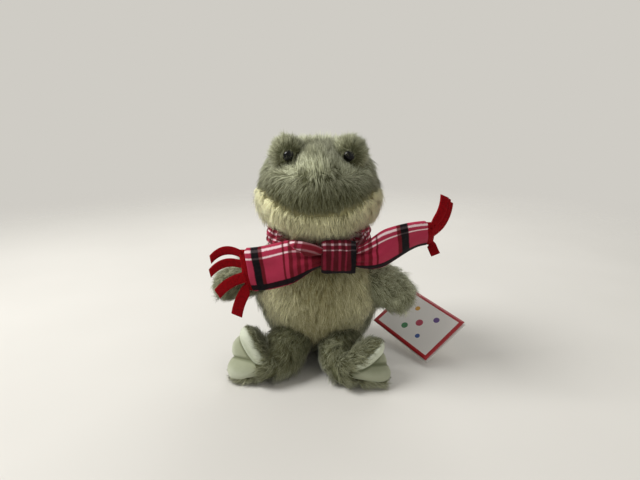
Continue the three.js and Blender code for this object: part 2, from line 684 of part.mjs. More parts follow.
// A fringe is a felt comb: strips that leave a hem along the tail's end.
function fringeForm(tail, strip_shares) {
  const middle = tailMiddle(tail);
  const way = vec(Math.cos(rad(tail.turn)), 0, 0);
  const bottom = middle(1, 0).addScaledVector(way, seam_gap);
  const top = middle(1, 1).addScaledVector(way, seam_gap);
  const end_line = top.clone().sub(bottom);
  const end_way = end_line.clone().normalize();
  const flat = () => felt;
  let comb = clothSlab((u, v) => bottom.clone().addScaledVector(way, fringe_hem * u)
    .addScaledVector(end_line, fringe_inset_share + (1 - 2 * fringe_inset_share) * v), flat, 1, 2);
  strip_shares.forEach((strip) => {
    const root = top.clone().addScaledVector(end_line, -strip.from).addScaledVector(way, fringe_hem / 2);
    const reach = way.clone().multiplyScalar(strip.out).add(vec(0, strip.back, strip.up))
      .multiplyScalar(strip_reach);
    const sideways = end_way.clone().projectOnPlane(reach.clone().normalize()).normalize();
    comb = comb.add(clothSlab((u, v) => {
      const across = end_way.clone().lerp(sideways, Math.min(u / strip_turn_share, 1)).normalize();
      return root.clone().addScaledVector(reach, u)
        .addScaledVector(across, (v - 0.5) * strip_width)
        .addScaledVector(sideways, strip.arch * strip_reach * 4 * u * (1 - u));
    }, flat, 6, 1));
  });
  return comb;
}

sides_of_body.forEach((side) => {
  // The frog's right tail is on the viewer's left.
  const tail = side === "right" ? scarf_tails.left : scarf_tails.right;
  const strip_shares = side === "right" ? fringe_shares.left : fringe_shares.right;
  place(`scarf_tail_${side}`, clothSlab(tailMiddle(tail), () => cloth, 11, 9), "flannel");
  place(`scarf_fringe_${side}`, fringeForm(tail, strip_shares), "felt");
});

// Arms and legs

sides_of_body.forEach((side) => {
  place(`arm_cover_${side}`, limb_forms.arm[side].cover, "green_fur");
  place(`arm_stuffing_${side}`, limb_forms.arm[side].stuffing, "fibre_fill");
  place(`leg_cover_${side}`, limb_forms.leg[side].cover, "green_fur");
  place(`leg_stuffing_${side}`, limb_forms.leg[side].stuffing, "fibre_fill");
  place(`foot_top_${side}`, foot_forms[side].top, "green_fur");
  place(`foot_sole_${side}`, foot_forms[side].sole, "velour");
});

// Head

const head_base = torso.height + seam_gap;
const crown = head_base + head.height;
const head_place_shares = [0, 0.08, 0.2, 0.35, 0.5, 0.62, 0.74, 0.84, 0.92, 0.97, 1];
const head_sides = 26;
const neck_sides = 20;

// An upright rod through the head's bottom, from `below` it to a little above the cover's wall.
const neckRod = (below, radius) =>
  rod(vec(0, 0, head_base - below), vec(0, 0, head_base + pile_wall * 2), radius, neck_sides);

function headForm(grow, below = 0) {
  const rings = head_place_shares.map((place_share) => {
    const z = head_base + place_share * head.height;
    const ring_z = z + grow * (2 * place_share - 1);
    const w = head.half_width * along(head_width_shares, place_share) + grow;
    const skull = head.front_depth * along(skull_front_shares, place_share);
    const f = skull + grow;
    const bump = head.front_depth * along(head_front_shares, place_share) - skull;
    const b = head.back_depth * along(head_back_shares, place_share) + grow;
    return levelRing(ring_z, w, f, b, head_sides, Math.max(bump, 0), head.muzzle_half_width);
  });
  const form = lofted(rings);
  if (below === 0) return form;
  return form.add(neckRod(below, head.neck_opening));
}

// The jaw panel lies below a sheet that rises to the cheeks and falls away behind them.
function jawRoom(lift) {
  const cells = 8;
  const span = head.half_width + overrun / 4;
  const from_y = -head.front_depth - overrun / 4;
  const to_y = head.jaw_back + overrun / 4;
  const mouth_z = crown - head.mouth_drop;
  const rings = Array.from({ length: cells + 1 }, (_, i) => {
    const y = from_y + ((to_y - from_y) * i) / cells;
    const behind = THREE.MathUtils.smoothstep(y, 0, head.jaw_back);
    const top = Array.from({ length: cells + 1 }, (__, j) => {
      const x = -span + (2 * span * j) / cells;
      const arc = mouth_z + head.mouth_rise * Math.min((x / head.half_width) ** 2, 1);
      return vec(x, y, THREE.MathUtils.lerp(arc, head_base - floor_cut, behind) + lift);
    });
    return [...top, vec(span, y, head_base - overrun), vec(-span, y, head_base - overrun)];
  });
  return lofted(rings);
}

const head_group = new THREE.Group();
frog.add(head_group);
const head_shell = headForm(0).subtract(headForm(-pile_wall, overrun));
const moundCentre = (side) => vec(
  ((side === "left" ? 1 : -1) * eye_mound.apart) / 2,
  -eye_mound.forward,
  crown + eye_mound.above_crown - eye_mound.half_height,
);
const moundForm = (side) => ellipsoid(moundCentre(side), vec(1, 0, 0), up,
  [eye_mound.half_width, eye_mound.half_height, eye_mound.half_depth], 14, 10);

// Eyes: a moulded dome with a shank, locked by a washer inside the mound

const eye_sides = 16;
const dome_steps = 5;
function eyeParts(side) {
  const mound = moundCentre(side);
  const out = side === "left" ? 1 : -1;
  const seat_y = mound.y - eye_mound.half_depth + eye.height * eye_sunk_share;
  const place_at = vec(mound.x - out * eye.aside, seat_y, mound.z);
  const facing = new THREE.Matrix4().makeTranslation(place_at.x, place_at.y, place_at.z)
    .multiply(new THREE.Matrix4().makeRotationX(Math.PI));
  const turnedProfile = (outline) =>
    solid(new THREE.LatheGeometry(outline.map(([r, h]) => new THREE.Vector2(r, h)), eye_sides)
      .applyMatrix4(facing));
  const dome = Array.from({ length: dome_steps + 1 }, (_, i) => {
    const angle = (Math.PI / 2) * (i / dome_steps);
    return [i === dome_steps ? 0 : eye.radius * Math.cos(angle), eye.height * Math.sin(angle)];
  });
  const bead = turnedProfile([
    [0, -eye.shank_length], [eye.shank_radius, -eye.shank_length], [eye.shank_radius, 0], ...dome,
  ]);
  const low = -washer.stand_off - washer.thickness;
  const bore_radius = eye.shank_radius + seam_gap;
  const ring = turnedProfile([
    [bore_radius, low], [washer.radius, low], [washer.radius, low + washer.thickness],
    [bore_radius, low + washer.thickness], [bore_radius, low],
  ]);
  const ring_room = turnedProfile([
    [0, low - seam_gap], [washer.radius + seam_gap, low - seam_gap],
    [washer.radius + seam_gap, low + washer.thickness + seam_gap], [0, low + washer.thickness + seam_gap],
  ]);
  const clear_of_mound = place_at.clone().add(vec(0, -overrun, 0));
  const roomFrom = (depth, radius) =>
    rod(place_at.clone().add(vec(0, depth + seam_gap, 0)), clear_of_mound, radius, eye_sides);
  const seat_room = roomFrom(0, eye.radius + seam_gap);
  const shank_room = roomFrom(eye.shank_length, bore_radius);
  return { bead, ring, room: ring_room.add(seat_room).add(shank_room) };
}

const eyes = { left: eyeParts("left"), right: eyeParts("right") };
const eye_rooms = eyes.left.room.add(eyes.right.room);
const head_room = headForm(seam_gap);
sides_of_body.forEach((side) => {
  const mound_form = moundForm(side).subtract(head_room).subtract(eye_rooms);
  place(`eye_mound_${side}`, mound_form, "green_fur", head_group);
  place(`eye_${side}`, eyes[side].bead, "bead", head_group);
  place(`eye_washer_${side}`, eyes[side].ring, "moulded_nylon", head_group);
});

place("head_top_panel", head_shell.subtract(jawRoom(seam_gap)).subtract(eye_rooms), "green_fur", head_group);
place("chin_panel", head_shell.intersect(jawRoom(0)), "cream_fur", head_group);
const neck_plug = neckRod(0, head.neck_opening - seam_gap);
const head_fill = headForm(-pile_wall - seam_gap).add(neck_plug).subtract(eye_rooms);
place("head_stuffing", head_fill, "fibre_fill", head_group);

// Hang tag: one card folded in two, with a hole near the fold

const tag_group = new THREE.Group();
tag_group.position.copy(tag_corner);
tag_group.quaternion.setFromRotationMatrix(tag_turn);
frog.add(tag_group);
// The outline is drawn across the fold, from the free edges at 0 to the fold at the card's length.
const card_outline = new THREE.Shape([
  [0, 0], [tag.length, 0], [tag.length, -tag_pack], [0, -tag_pack - tag.spread],
  [0, -tag_pack - tag.spread + tag.card], [tag.length - tag.card, -tag_pack + tag.card],
  [tag.length - tag.card, -tag.card], [0, -tag.card],
].map(([a, b]) => new THREE.Vector2(a, b)));
const card = new THREE.ExtrudeGeometry(card_outline, { depth: tag.width, bevelEnabled: false });
// Drawn with length along X and thickness along Y, it is turned to length along Y and thickness along Z.
card.applyMatrix4(new THREE.Matrix4().makeBasis(vec(0, 1, 0), vec(0, 0, 1), vec(1, 0, 0)));
const hole_at = vec(tag.width / 2, tag.length - tag.hole_inset, 0);
const hole = rod(hole_at.clone().setZ(tag_pack), hole_at.clone().setZ(-tag_pack * 3), tag.hole_radius, 16);
place("hang_tag", solid(card).subtract(hole), "card", tag_group);

export default frog;
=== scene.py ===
"""Looks for a seated plush frog with a tartan scarf, felt fringes and a folded hang tag.

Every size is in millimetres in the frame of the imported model, and becomes metres when a mesh is made.
The frog faces -Y, its left is at +X, and +Z is up.
"""

import json
import logging
from dataclasses import dataclass, field
from enum import Enum
from typing import Any, Callable, Iterable

import bmesh
import bpy
import numpy as np
from bpy.types import Material, Mesh, Node, NodeSocket, NodeTree, Object
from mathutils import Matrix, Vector
from numpy.typing import NDArray


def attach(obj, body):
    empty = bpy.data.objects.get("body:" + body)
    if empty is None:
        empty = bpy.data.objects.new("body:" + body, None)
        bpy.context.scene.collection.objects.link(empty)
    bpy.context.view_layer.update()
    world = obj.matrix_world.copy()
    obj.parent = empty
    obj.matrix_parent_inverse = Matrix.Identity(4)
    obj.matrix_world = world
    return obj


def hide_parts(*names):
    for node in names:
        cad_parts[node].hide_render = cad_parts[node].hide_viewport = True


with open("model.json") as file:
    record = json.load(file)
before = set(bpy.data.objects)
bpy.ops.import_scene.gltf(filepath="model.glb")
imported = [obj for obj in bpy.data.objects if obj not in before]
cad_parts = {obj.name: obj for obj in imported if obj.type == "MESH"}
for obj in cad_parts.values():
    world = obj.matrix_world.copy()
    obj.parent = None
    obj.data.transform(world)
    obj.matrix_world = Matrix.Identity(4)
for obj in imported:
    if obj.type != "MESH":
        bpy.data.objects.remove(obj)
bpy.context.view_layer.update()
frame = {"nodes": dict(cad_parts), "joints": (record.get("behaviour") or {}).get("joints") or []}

Array = NDArray[np.float64]
Flags = NDArray[np.bool_]
Indices = NDArray[np.int64]
Triple = tuple[float, float, float]
Inputs = dict[Any, Any]  # a node's inputs: plain values, outputs, or nodes for their first output
Lie = Callable[[Array, Array], Array]
Keep = Callable[[Array, Array], Flags]
Place = Callable[[Array], Array]

log = logging.getLogger("plush_frog")

MM = 0.001
UV_NAME = "OFBake"
SEAM_GAP = 0.35
FLOOR_CUT = 0.5
FLOOR_CLEAR = 0.25
ROOT_DEPTH = 1.0  # how far the roots of the pile lie under the skin
BURIED = 1.6  # how far under a stuffed skin a root counts as hidden inside
SPIKE_POINTS = 7  # of a fibre: two rings of three, and the tip
TOE, SLOPE, OFFSET, POWER = 0.04045, 12.92, 0.055, 2.4  # of the sRGB curve


# Small tools


def linear(code: str) -> tuple[float, float, float, float]:
    """Turns an sRGB hex code into a linear colour.

    Args:
        code: the colour, such as "#8f9877".

    Returns:
        Red, green, blue and an alpha of one, in linear light.
    """
    parts = [int(code[i:i + 2], 16) / 255 for i in (1, 3, 5)]
    red, green, blue = (c / SLOPE if c <= TOE else ((c + OFFSET) / (1 + OFFSET)) ** POWER for c in parts)
    return red, green, blue, 1.0


def add_node(
    tree: NodeTree,
    kind: str,
    settings: dict[str, Any] | None = None,
    inputs: Inputs | None = None,
    stops: Iterable[tuple[float, str]] = (),
) -> Node:
    """Adds a shader node with its settings and its links.

    Args:
        tree: the material's node tree.
        kind: the node's type, without the words that every type starts with.
        settings: property names and their values.
        inputs: input names or places, with a plain value, an output, or a node for its first output.
        stops: places and hex colours, for a colour ramp.

    Returns:
        The new node.
    """
    node = tree.nodes.new(f"ShaderNode{kind}")
    for name, value in (settings or {}).items():
        setattr(node, name, value)
    for key, value in (inputs or {}).items():
        if isinstance(value, Node):
            tree.links.new(value.outputs[0], node.inputs[key])
        elif isinstance(value, NodeSocket):
            tree.links.new(value, node.inputs[key])
        else:
            node.inputs[key].default_value = value
    for i, (place, code) in enumerate(stops):
        elements = node.color_ramp.elements
        element = elements[i] if i < 2 else elements.new(place)
        element.position = place
        element.color = linear(code)
    return node


def per_metre(size: float) -> float:
    """A pattern's scale from the size of its patches in millimetres."""
    return 1 / (size * MM)


def grid(rows: int, columns: int) -> tuple[Array, Array]:
    """Even steps from 0 to 1, down a grid and across it."""
    return np.linspace(0, 1, rows)[:, None], np.linspace(0, 1, columns)[None, :]


def ring_grid(rows: int, sides: int) -> tuple[Array, Array]:
    """Even steps from 0 to 1 down a form, and even angles once round it."""
    return np.linspace(0, 1, rows)[:, None], np.linspace(0, 2 * np.pi, sides, endpoint=False)[None, :]


def above_floor(points: Array) -> Array:
    """Lifts points out of the floor, in place."""
    points[..., 2] = np.maximum(points[..., 2], FLOOR_CLEAR)
    return points


def unit(vectors: Array) -> Array:
    """Scales vectors to length one."""
    return vectors / np.maximum(np.linalg.norm(vectors, axis=-1, keepdims=True), 1e-9)


def smooth(low: float, high: float, value: Array) -> Array:
    """Rises smoothly from 0 at low to 1 at high."""
    t = np.clip((value - low) / (high - low), 0, 1)
    return t * t * (3 - 2 * t)


def bearing(heading: float, slope: float = 0.0) -> Array:
    """A unit direction at a heading round the vertical and a slope above the level, in degrees."""
    h, s = np.radians(heading), np.radians(slope)
    return np.array([np.cos(h) * np.cos(s), np.sin(h) * np.cos(s), np.sin(s)])


def scatter(cells: Array, salt: float) -> Array:
    """A repeatable random number from 0 to 1 for each cell, from the fraction of a large sine."""
    mixed = np.sin(cells @ np.array([127.1, 311.7, 74.7]) + salt * 17.3) * 43758.5453
    return mixed - np.floor(mixed)


def wandering(points: Array, reach: float, salt: float) -> Array:
    """A slow wave from -1 to 1 over space, as the mean of three sines in skew directions.

    Args:
        points: where it is read.
        reach: the distance from one crest to the next.
        salt: shifts the wave.

    Returns:
        One value for each point.
    """
    ways = np.array([[0.8, 0.5, 0.33], [-0.45, 0.75, 0.6], [0.35, -0.6, 0.85]]) * 2 * np.pi / reach
    return np.sin(points @ ways.T + salt * np.array([1.0, 2.3, 4.1])).mean(axis=-1) * 1.5


# Meshes


@dataclass
class Surface:
    """A mesh as plain arrays: points, the point of each face corner, and where each face starts."""

    points: Array
    corners: Indices
    starts: Indices
    uv: Array | None = None  # one place on the piece's own map for each corner
    normals: Array | None = None  # one shading normal for each point

    @staticmethod
    def loft(rings: Array) -> "Surface":
        """Closes a form through rings of points, each end with a fan to its middle.

        Args:
            rings: an array of rings by sides by three.

        Returns:
            The closed form, with its faces pointing outwards.
        """
        count, sides = rings.shape[:2]
        points = np.concatenate([rings.reshape(-1, 3), rings[[0, -1]].mean(axis=1)])
        row, side = np.meshgrid(np.arange(count - 1), np.arange(sides), indexing="ij")
        a = (row * sides + side).ravel()
        b = (row * sides + (side + 1) % sides).ravel()
        quads = np.stack([a, b, b + sides, a + sides], axis=1)
        s = np.arange(sides)
        n = (s + 1) % sides
        low = np.stack([np.full(sides, count * sides), n, s], axis=1)
        top = (count - 1) * sides
        high = np.stack([np.full(sides, count * sides + 1), top + s, top + n], axis=1)
        corners = np.concatenate([quads.ravel(), low.ravel(), high.ravel()])
        tri_starts = quads.size + 3 * np.arange(2 * sides)
        starts = np.concatenate([4 * np.arange(len(quads)), tri_starts])
        return Surface(points, corners, starts).outward()

    @staticmethod
    def slab(middle: Array, thickness: Array, uv: Array) -> "Surface":
        """Thickens a grid of points into a closed slab whose two skins meet at the rim.

        Args:
            middle: the middle surface, rows by columns by three.
            thickness: how thick the slab is at each place of the grid.
            uv: the map's place for each place of the grid.

        Returns:
            The closed slab with a map on both skins.
        """
        out = unit(np.cross(*np.gradient(middle, axis=(0, 1)))) * thickness[..., None] / 2
        rows, columns = middle.shape[:2]
        points = np.concatenate([(middle + out).reshape(-1, 3), (middle - out).reshape(-1, 3)])
        places = np.concatenate([uv.reshape(-1, 2), uv.reshape(-1, 2)])
        index = np.arange(rows * columns).reshape(rows, columns)
        face = np.stack([index[:-1, :-1], index[1:, :-1], index[1:, 1:], index[:-1, 1:]], -1).reshape(-1, 4)
        back = face[:, ::-1] + rows * columns
        rim = np.concatenate([index[0, :-1], index[:-1, -1], index[-1, :0:-1], index[:0:-1, 0]])
        after = np.roll(rim, -1)
        edge = np.stack([rim, after, after + rows * columns, rim + rows * columns], axis=1)
        quads = np.concatenate([face, back, edge])
        return Surface(points, quads.ravel(), 4 * np.arange(len(quads)), uv=places[quads.ravel()]).outward()

    @staticmethod
    def joined(parts: list["Surface"]) -> "Surface":
        """Puts several surfaces into one, piece after piece."""
        point_at = np.cumsum([0] + [len(p.points) for p in parts])
        corner_at = np.cumsum([0] + [len(p.corners) for p in parts])
        uvs = [p.uv for p in parts]
        normals = [p.normals for p in parts]
        return Surface(
            np.concatenate([p.points for p in parts]),
            np.concatenate([p.corners + at for p, at in zip(parts, point_at)]),
            np.concatenate([p.starts + at for p, at in zip(parts, corner_at)]),
            None if any(u is None for u in uvs) else np.concatenate(uvs),
            None if any(n is None for n in normals) else np.concatenate(normals),
        )

    def triangles(self) -> Indices:
        """Cuts each face into a fan of triangles and gives their points."""
        ends = np.append(self.starts[1:], len(self.corners))
        sizes = ends - self.starts
        found = []
        for step in range(1, int(sizes.max()) - 1):
            wide = sizes > step + 1
            first = self.starts[wide]
            found.append(np.stack([self.corners[first], self.corners[first + step],
                                   self.corners[first + step + 1]], axis=1))
        return np.concatenate(found)

    def volume(self) -> float:
        """The volume inside, which is negative where the faces point inwards."""
        a, b, c = (self.points[self.triangles()[:, k]] for k in range(3))
        return float(np.einsum("ij,ij->", a, np.cross(b, c)) / 6)

    def turned_over(self) -> "Surface":
        """The same surface with each face turned to its other side."""
        ends = np.append(self.starts[1:], len(self.corners))
        face = np.searchsorted(self.starts, np.arange(len(self.corners)), side="right") - 1
        mirror = self.starts[face] + ends[face] - 1 - np.arange(len(self.corners))
        uv = None if self.uv is None else self.uv[mirror]
        return Surface(self.points, self.corners[mirror], self.starts, uv, self.normals)

    def outward(self) -> "Surface":
        """The same surface with its faces pointing outwards."""
        return self if self.volume() > 0 else self.turned_over()

    def mesh(self, name: str) -> Mesh:
        """Writes the arrays into a Blender mesh, in metres."""
        mesh = bpy.data.meshes.new(name)
        mesh.vertices.add(len(self.points))
        mesh.vertices.foreach_set("co", (self.points * MM).astype(np.float32).ravel())
        mesh.loops.add(len(self.corners))
        mesh.loops.foreach_set("vertex_index", self.corners.astype(np.int32))
        mesh.polygons.add(len(self.starts))
        mesh.polygons.foreach_set("loop_start", self.starts.astype(np.int32))
        mesh.polygons.foreach_set("use_smooth", np.full(len(self.starts), True))
        if self.uv is not None:
            layer = mesh.uv_layers.new(name=UV_NAME)
            layer.uv.foreach_set("vector", self.uv.astype(np.float32).ravel())
        mesh.update(calc_edges=True)
        mesh.validate()
        if self.normals is not None:
            mesh.normals_split_custom_set_from_vertices(self.normals.astype(np.float32))
        return mesh

    def piece(self, name: str, material: Material) -> Object:
        """Makes the Blender object of a piece, at the origin, with its material."""
        made = bpy.data.objects.new(name, self.mesh(name))
        made.data.materials.append(material)
        bpy.context.scene.collection.objects.link(made)
        return made


def read_back(mesh: Mesh) -> Surface:
    """Reads a Blender mesh back into arrays, in millimetres."""
    points = np.empty(len(mesh.vertices) * 3, np.float32)
    mesh.vertices.foreach_get("co", points)
    corners = np.empty(len(mesh.loops), np.int32)
    mesh.loops.foreach_get("vertex_index", corners)
    starts = np.empty(len(mesh.polygons), np.int32)
    mesh.polygons.foreach_get("loop_start", starts)
    return Surface(points.reshape(-1, 3).astype(float) / MM, corners.astype(int), starts.astype(int))


@dataclass(frozen=True)
class Filling:
    """How a closed cover swells when it is stuffed, by cloth simulation.

    The cover is remeshed evenly, blown up by an inner pressure with no gravity, and no point moves by
    more than the travel. It is simulated several times larger, where cloth settings are steady.
    """

    voxel: float = 3.0
    pressure: float = 4.0
    travel: float = 1.5
    enlarge: float = 4.0
    last_frame: int = 14

    def fill(self, cover: Surface) -> Surface:
        """Stuffs a cover.

        Args:
            cover: the slack, closed cover.
        """
        scene = bpy.context.scene
        big = Surface(cover.points * self.enlarge, cover.corners, cover.starts)
        dummy = bpy.data.objects.new("cover_being_filled", big.mesh("cover_being_filled"))
        scene.collection.objects.link(dummy)
        remesh = dummy.modifiers.new("even_mesh", "REMESH")
        remesh.mode = "VOXEL"
        remesh.voxel_size = self.voxel * self.enlarge * MM
        graph = bpy.context.evaluated_depsgraph_get()
        even = bpy.data.meshes.new_from_object(dummy.evaluated_get(graph))
        dummy.modifiers.clear()
        dummy.data = even
        slack = read_back(even)
        cloth = dummy.modifiers.new("cloth", "CLOTH")
        cloth.settings.use_pressure = True
        cloth.settings.uniform_pressure_force = self.pressure
        cloth.settings.effector_weights.gravity = 0
        cloth.point_cache.frame_start = 1
        cloth.point_cache.frame_end = self.last_frame
        for number in range(1, self.last_frame + 1):
            scene.frame_set(number)
        graph = bpy.context.evaluated_depsgraph_get()
        swollen = read_back(dummy.evaluated_get(graph).data)
        bpy.data.objects.remove(dummy)
        scene.frame_set(1)
        move = swollen.points - slack.points
        far = np.linalg.norm(move, axis=1, keepdims=True)
        limit = self.travel * self.enlarge
        held = slack.points + move * np.minimum(1, limit / np.maximum(far, 1e-6))
        return Surface(held / self.enlarge, slack.corners, slack.starts)


@dataclass(frozen=True)
class Table:
    """A smooth curve (Catmull-Rom) through rows of a place and a size."""

    rows: tuple[tuple[float, float], ...]

    def at(self, place: Array) -> Array:
        """Reads the curve: a cubic between two rows whose slopes come from the rows beside them."""
        xs, ys = np.array(self.rows).T
        at = np.clip(np.asarray(place, float), xs[0], xs[-1])
        last = len(xs) - 1
        i = np.clip(np.searchsorted(xs, at, side="left") - 1, 0, last - 1)
        before, after = np.maximum(np.arange(last + 1) - 1, 0), np.minimum(np.arange(last + 1) + 1, last)
        slope = (ys[after] - ys[before]) / (xs[after] - xs[before])
        step = xs[i + 1] - xs[i]
        t = (at - xs[i]) / step
        return (ys[i] * (2 * t**3 - 3 * t**2 + 1) + slope[i] * step * (t**3 - 2 * t**2 + t)
                + ys[i + 1] * (3 * t**2 - 2 * t**3) + slope[i + 1] * step * (t**3 - t**2))


# Finishes


@dataclass(frozen=True)
class Finish:
    """A finish of the toy, named for its real material."""

    name: str

    def material(self) -> Material:
        """Makes the material: a Principled shader fed by the finish's own nodes."""
        material = bpy.data.materials.new(self.name)
        material.use_nodes = True
        tree = material.node_tree
        tree.nodes.clear()
        shader = add_node(tree, "BsdfPrincipled", inputs=self.surface(tree))
        add_node(tree, "OutputMaterial", inputs={"Surface": shader})
        return material

    def surface(self, tree: NodeTree) -> Inputs:
        """Adds the finish's own nodes to a tree and gives the shader's inputs."""
        raise NotImplementedError


@dataclass(frozen=True)
class Fur(Finish):
    """Long acrylic pile: matt fibres, darker at the root and paler at the tip, partly their own colour and
    partly painted shade deep in the pile and painted light through the tips.
    """

    root: str
    middle: str
    tip: str
    deep: str  # the tint of the darkest fibres
    pale: str  # the tint of the lightest ones
    roughness: float = 0.75
    sheen: float = 0.25

    def surface(self, tree: NodeTree) -> Inputs:
        """Colours each fibre along its length (v), from the root's painted shade to the tip's painted light,
        and by its own tone (u), which is partly random and partly painted light and shade.
        """
        place = add_node(tree, "UVMap", {"uv_map": UV_NAME})
        split = add_node(tree, "SeparateXYZ", inputs={0: place})
        along = add_node(tree, "ValToRGB", inputs={0: split.outputs[1]},
                         stops=((0.0, self.root), (1.0, self.tip), (0.5, self.middle)))
        tone = add_node(tree, "ValToRGB", inputs={0: split},
                        stops=((0.0, self.deep), (1.0, self.pale), (0.5, "#bcbcbc")))
        colour = add_node(tree, "Mix", {"data_type": "RGBA", "blend_type": "MULTIPLY"},
                          {0: 1.0, 6: along, 7: tone})
        # The middle tone is a grey of half the light, so the product is doubled: a pale tone lightens.
        lift = add_node(tree, "Mix", {"data_type": "RGBA", "blend_type": "MULTIPLY", "clamp_result": False},
                        {0: 1.0, 6: colour.outputs[2], 7: (2.0, 2.0, 2.0, 1.0)})
        return {"Base Color": lift.outputs[2], "Roughness": self.roughness, "Sheen Weight": self.sheen,
                "Sheen Roughness": 0.5, "Specular IOR Level": 0.2}


@dataclass(frozen=True)
class Mottled(Finish):
    """A material whose colour and height both follow one noise over the object."""

    colour: str
    shade: str
    roughness: float = 1.0
    patch: float = 2.5  # millimetres from patch to patch
    detail: float = 4.0
    warp: float = 0.0
    turn: tuple[float, float] = (0.3, 0.7)  # where the noise turns from the shade to the colour
    strength: float = 0.6
    relief: float = 0.5  # millimetres

    def surface(self, tree: NodeTree) -> Inputs:
        """Mottles the colour and, where the finish has any relief, raises the patches."""
        place = add_node(tree, "TexCoord")
        noise = add_node(tree, "TexNoise", inputs={
            "Vector": place.outputs["Object"], "Scale": per_metre(self.patch), "Detail": self.detail,
            "Distortion": self.warp})
        colour = add_node(tree, "ValToRGB", inputs={0: noise},
                          stops=zip(self.turn, (self.shade, self.colour)))
        inputs: Inputs = {"Base Color": colour, "Roughness": self.roughness}
        if self.relief:
            bump = add_node(tree, "Bump", inputs={
                "Strength": self.strength, "Distance": self.relief * MM, "Height": noise})
            inputs["Normal"] = bump
        return inputs


@dataclass(frozen=True)
class Backing(Mottled):
    """The knitted backing under the pile: matt, and dark with the fibres' own shade."""

    roughness: float = 0.95
    patch: float = 3.846
    detail: float = 3.0
    turn: tuple[float, float] = (0.35, 0.65)
    relief: float = 0.0

    def surface(self, tree: NodeTree) -> Inputs:
        """Adds the backing's faint gloss."""
        return super().surface(tree) | {"Specular IOR Level": 0.1}


@dataclass(frozen=True)
class Felt(Mottled):
    """Pressed wool felt: wholly matt, with short stray fibres that mottle it and stand up a little."""

    colour: str = "#960a13"
    shade: str = "#6c070d"
    patch: float = 1.111
    warp: float = 1.2
    turn: tuple[float, float] = (0.35, 0.65)
    strength: float = 0.5
    relief: float = 0.3

    def surface(self, tree: NodeTree) -> Inputs:
        """Adds the red sheen of the stray fibres."""
        return super().surface(tree) | {
            "Sheen Weight": 0.2, "Sheen Tint": linear("#e0404a"), "Specular IOR Level": 0.1}


@dataclass(frozen=True)
class Moulding(Mottled):
    """A moulded plastic: even, with a faint waviness from the mould."""

    patch: float = 3.333
    detail: float = 1.0
    strength: float = 0.05
    relief: float = 0.05
    ior: float = 1.5

    def surface(self, tree: NodeTree) -> Inputs:
        """Adds the plastic's own index of refraction."""
        return super().surface(tree) | {"IOR": self.ior}


@dataclass(frozen=True)
class Wadding(Mottled):
    """Loose fibre or plain cloth inside the toy, matt and crumpled into lumps."""


@dataclass(frozen=True)
class Velour(Finish):
    """Knitted velour: a dense half-millimetre nap, smooth to the hand, with a painted highlight where it
    turns away at the rims.
    """

    colour: str
    shade: str
    # rim: the painted highlight on a lobe's rim; lee: the painted shadow under the toes above; groove: the
    # painted shade between lobes.
    rim: str
    lee: str
    groove: str
    nap: float = 0.5  # millimetres from one tuft of the nap to the next
    stroke: float = 7.143  # millimetres from one brushed stroke to the next

    def surface(self, tree: NodeTree) -> Inputs:
        """Lays the nap in soft strokes with a fine grain, with a painted highlight on the rims and painted
        shade under the toes above and in the grooves.
        """
        place = add_node(tree, "TexCoord")
        strokes = add_node(tree, "TexNoise", inputs={
            "Vector": place.outputs["Object"], "Scale": per_metre(self.stroke), "Detail": 2.0,
            "Distortion": 0.6})
        grain = add_node(tree, "TexNoise", inputs={
            "Vector": place.outputs["Object"], "Scale": per_metre(self.nap), "Detail": 2.0})
        mixed = add_node(tree, "Math", {"operation": "MULTIPLY_ADD"}, {0: strokes, 1: 0.65, 2: 0.0})
        total = add_node(tree, "Math", {"operation": "MULTIPLY_ADD"}, {0: grain, 1: 0.35, 2: mixed})
        colour = add_node(tree, "ValToRGB", inputs={0: total}, stops=((0.38, self.shade), (0.6, self.colour)))
        bump = add_node(tree, "Bump", inputs={"Strength": 0.35, "Distance": 0.25 * MM, "Height": grain})
        shown: Node | NodeSocket = colour
        # The rim gets a painted highlight, the lee a painted shadow from the toes above, and the groove
        # painted shade between the lobes.
        for name, low, most, code in (
            ("rim", 0.62, 0.7, self.rim), ("lee", 0.0, 0.75, self.lee), ("groove", 0.25, 0.95, self.groove)
        ):
            mark = add_node(tree, "Attribute", {"attribute_name": name})
            share = add_node(tree, "MapRange", {"interpolation_type": "SMOOTHSTEP"}, {
                "Value": mark.outputs["Fac"], "From Min": low, "From Max": 1.0, "To Min": 0.0,
                "To Max": most})
            mixed = add_node(tree, "Mix", {"data_type": "RGBA"}, {0: share, 6: shown, 7: linear(code)})
            shown = mixed.outputs[2]
        return {"Base Color": shown, "Normal": bump, "Roughness": 0.85, "Sheen Weight": 0.5,
                "Sheen Roughness": 0.35, "Sheen Tint": linear("#eef2e2"), "Specular IOR Level": 0.2}


MAP_SPAN = 100.0  # millimetres of cloth over one whole side of the map
Stripes = tuple[tuple[float, str], ...]
TAIL_CROSS: Stripes = (
    (0, "field"), (5.1, "black"), (10.6, "deep"), (13.2, "field"), (27.4, "deep"), (28.8, "field"),
    (31.6, "deep"), (34.4, "rose"), (37.2, "deep"), (40.0, "rose"), (42.6, "deep"), (45.4, "rose"),
    (48.0, "deep"))
TAIL_LENGTH: Stripes = (
    (0, "none"), (1.8, "white"), (3.7, "none"), (6.9, "white"), (8.4, "none"), (27.4, "black"),
    (32.2, "none"))
WRAP_CROSS: Stripes = (
    (0, "wine"), (1.2, "plum"), (3.4, "wine"), (7.0, "plum"), (8.8, "wine"), (12.4, "plum"), (14.2, "wine"),
    (17.2, "plum"), (18.4, "wine"), (21.4, "black"))
WRAP_LENGTH: Stripes = (
    (0, "none"), (3.0, "white"), (4.6, "none"), (7.6, "white"), (8.8, "none"), (27.2, "black"),
    (33.0, "none"))
